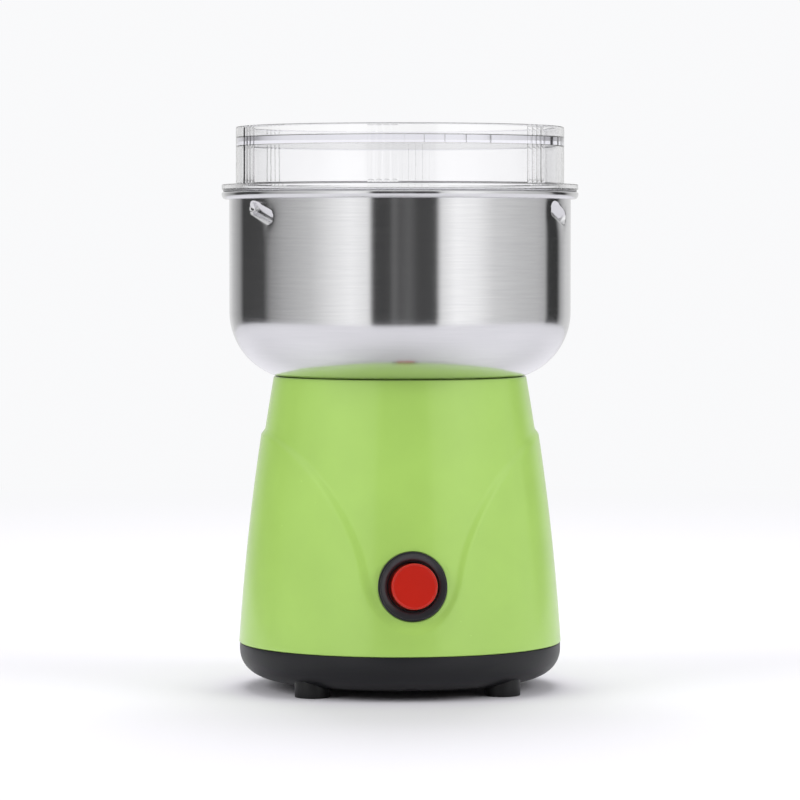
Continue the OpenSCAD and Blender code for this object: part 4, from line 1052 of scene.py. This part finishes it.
def make_gland():
    """The cord's rubber bush: a flange outside and a lip inside the wall, with a flared mouth."""
    cord_r, neck_r, flange_r, lip_r = 3.2, gland_neck_r, 6.0, gland_neck_r + 0.8
    inside, outside = gland_low[1], gland_high[1]
    lip_end, flange_start = inside + 1.8, outside - 1.8
    profile = rounded([
        (cord_r, inside, 0.2), (lip_r, inside, 0.3), (lip_r, lip_end), (neck_r, lip_end),
        (neck_r, flange_start), (flange_r, flange_start, 0.2), (flange_r, outside, 0.6),
        (cord_r, outside, 0.5)], 5, closed=True)
    bush = turned(profile, 96, closed=True)
    piece("gland_bush", [at_gland(bush)], "root", "gland_rubber", ["cord_gland"])


make_switch()
make_springs()
make_feet()
make_gland()


# ---- Stage, light and camera ----

CAMERA_AZIMUTH = math.radians(-4.6)
CAMERA_DISTANCE = 1.207
CAMERA_HEIGHT = 0.1393
AIM_HEIGHT = 0.0896
CAMERA_LENS = 173.7
LAMP_AIM = (0, 0, 0.09)
FLOOR_RADIUS = 1.1
GLOSSY_FLOOR = 0.65  # radius of the floor that polished surfaces see
GLOSSY_BACK = 0.27  # and how far its middle lies behind the object
BACKGROUND = (0.95, 0.952, 0.962)
DOME_LIGHT = 0.7
MIRRORED_SHARE = 0.6  # of the light plan in what clear pieces show after a reflection
WHITE = (1.0, 1.0, 1.0)
toward_camera = np.array([math.sin(CAMERA_AZIMUTH), -math.cos(CAMERA_AZIMUTH), 0.0])

# Brightness that glossy surfaces see round the object, by direction in degrees from the camera's
# side, positive to the right: soft boxes left and right, dark gaps between them and the backdrop
LIGHT_PLAN = [
    (-180, 0.8), (-162, 0.78), (-148, 0.54), (-137, 0.34), (-131, 0.06), (-104, 0.07), (-97, 0.32),
    (-85, 0.48), (-62, 0.68), (-45, 0.98), (-33, 1.14), (-20.5, 0.98), (-18, 0.05), (-7, 0.07), (-4, 0.17),
    (0, 0.1), (6, 0.14), (12, 0.07), (24, 0.07), (27, 0.9), (38, 1.2), (52, 1.1), (66, 0.8), (85, 0.68),
    (105, 0.6), (114, 0.5), (118, 0.05), (132, 0.04), (138, 0.44), (148, 0.7), (180, 0.8),
]


def make_world():
    """The backdrop's colour for the camera, white through clear pieces, an even light that is stronger
    overhead for matt surfaces, and the light plan for glossy ones, under an even ceiling."""
    world = bpy.data.worlds.new("studio")
    bpy.context.scene.world = world
    f = Finish(world)

    def glow(colour, strength=1.0):
        """A background's light."""
        return f.node("Background", {}, {"Color": colour, "Strength": strength})

    x, y, z = f.parts(f.node("TexCoord", output="Generated"))
    ahead = x * toward_camera[0] + y * toward_camera[1]
    right = x * -toward_camera[1] + y * toward_camera[0]
    turn = right.math("ARCTAN2", ahead) / TAU + 0.5
    peak = max(level for _, level in LIGHT_PLAN)
    stops = [((angle + 180) / 360, level / peak) for angle, level in LIGHT_PLAN]
    plan = f.node("ValToRGB", {"stops": stops}, {0: turn}, "Color")
    sky = f.mix(z.clip(0.45, 0.75), plan, (0.7, 0.7, 0.7))
    boxes = glow(sky, peak)
    ray = f.outputs("LightPath")
    mirrored = ray["Glossy Depth"].math("MINIMUM", 1.0) * MIRRORED_SHARE
    through = f.blend(mirrored, glow(WHITE), boxes)
    whole = glow(f.mix(z.clip(-0.2, 0.8), (0.2, 0.2, 0.2), WHITE), DOME_LIGHT)
    whole = f.blend(ray["Is Glossy Ray"], whole, boxes)
    whole = f.blend(ray["Is Transmission Ray"], whole, through)
    whole = f.blend(ray["Is Camera Ray"], whole, glow(BACKGROUND))
    f.node("OutputWorld", {}, {"Surface": whole})


def make_floor():
    """A pale round floor whose own colour fades into the backdrop's towards its edge. Polished surfaces
    look past it outside a circle set back from the object, so that the light plan runs down to there."""
    f = Finish(bpy.data.materials.new("pale_floor"))
    x, y = f.parts(f.place())[:2]
    radius = (x * x + y * y).math("SQRT")
    ray = f.outputs("LightPath")
    glossy = ray["Is Glossy Ray"]
    near = f.mix(glossy, (0.71, 0.7, 0.737), (0.63, 0.623, 0.655))
    matt = f.node("BsdfDiffuse", {}, {"Color": near})
    far = f.mix(glossy, BACKGROUND, (0.8, 0.798, 0.83))
    backdrop = f.node("Emission", {}, {"Color": far, "Strength": 1.0})
    seen = ray["Is Camera Ray"] + glossy + ray["Is Transmission Ray"]
    fade = (radius / FLOOR_RADIUS).clip(0.3, 0.9) * seen.math("MINIMUM", 1.0)
    back_x = x + toward_camera[0] * GLOSSY_BACK
    back_y = y + toward_camera[1] * GLOSSY_BACK
    under = f.node("NewGeometry", output="Backfacing")
    past = ((back_x * back_x + back_y * back_y).math("SQRT") / GLOSSY_FLOOR).clip(0.98, 1.0) * glossy
    pale = f.blend(fade, matt, backdrop)
    whole = f.blend(past.math("MAXIMUM", under), pale, f.node("BsdfTransparent"))
    f.node("OutputMaterial", {}, {"Surface": whole})
    sides = 128
    ring = np.arange(sides) * TAU / sides
    points = FLOOR_RADIUS / MM * points_at(np.cos(ring), np.sin(ring), 0)
    mesh = mesh_from("floor", [(points, [list(range(sides))])])
    mesh.materials.append(f.owner)
    floor = placed("floor", mesh)


def soft_box(name, angle, height, distance, size, power):
    """A square lamp at an angle from the camera's side, aimed at the bowl, unseen in steel and in glass."""
    data = bpy.data.lights.new(name, "AREA")
    data.shape = "SQUARE"
    data.size = size
    data.energy = power
    lamp = placed(name, data)
    flat = np.array(about_z(math.radians(angle))) @ toward_camera * math.sqrt(distance ** 2 - height ** 2)
    lamp.location = (flat[0], flat[1], height)
    look_at(lamp, LAMP_AIM)
    lamp.visible_glossy = False
    lamp.visible_transmission = False


def look_at(thing, target):
    """Turns a lamp or camera so that its -Z points at the target."""
    thing.rotation_euler = (Vector(target) - thing.location).to_track_quat("-Z", "Y").to_euler()


def make_camera():
    """The camera: a long lens a little to the left of the switch, with no shift or depth of field."""
    data = bpy.data.cameras.new("camera")
    data.lens = CAMERA_LENS
    data.sensor_width = 36.0
    data.clip_start, data.clip_end = 0.05, 20.0
    camera = placed("camera", data)
    camera.location = toward_camera * CAMERA_DISTANCE + [0, 0, CAMERA_HEIGHT]
    look_at(camera, (0, 0, AIM_HEIGHT))
    bpy.context.scene.camera = camera


make_world()
make_floor()
soft_box("left_box", -61, 0.75, 1.5, 0.9, 10.7)
soft_box("right_box", 65, 0.75, 1.5, 0.9, 10.5)
soft_box("top_box", 180, 1.25, 1.4, 0.8, 12.0)
make_camera()

bpy.context.scene.view_settings.view_transform = "Standard"
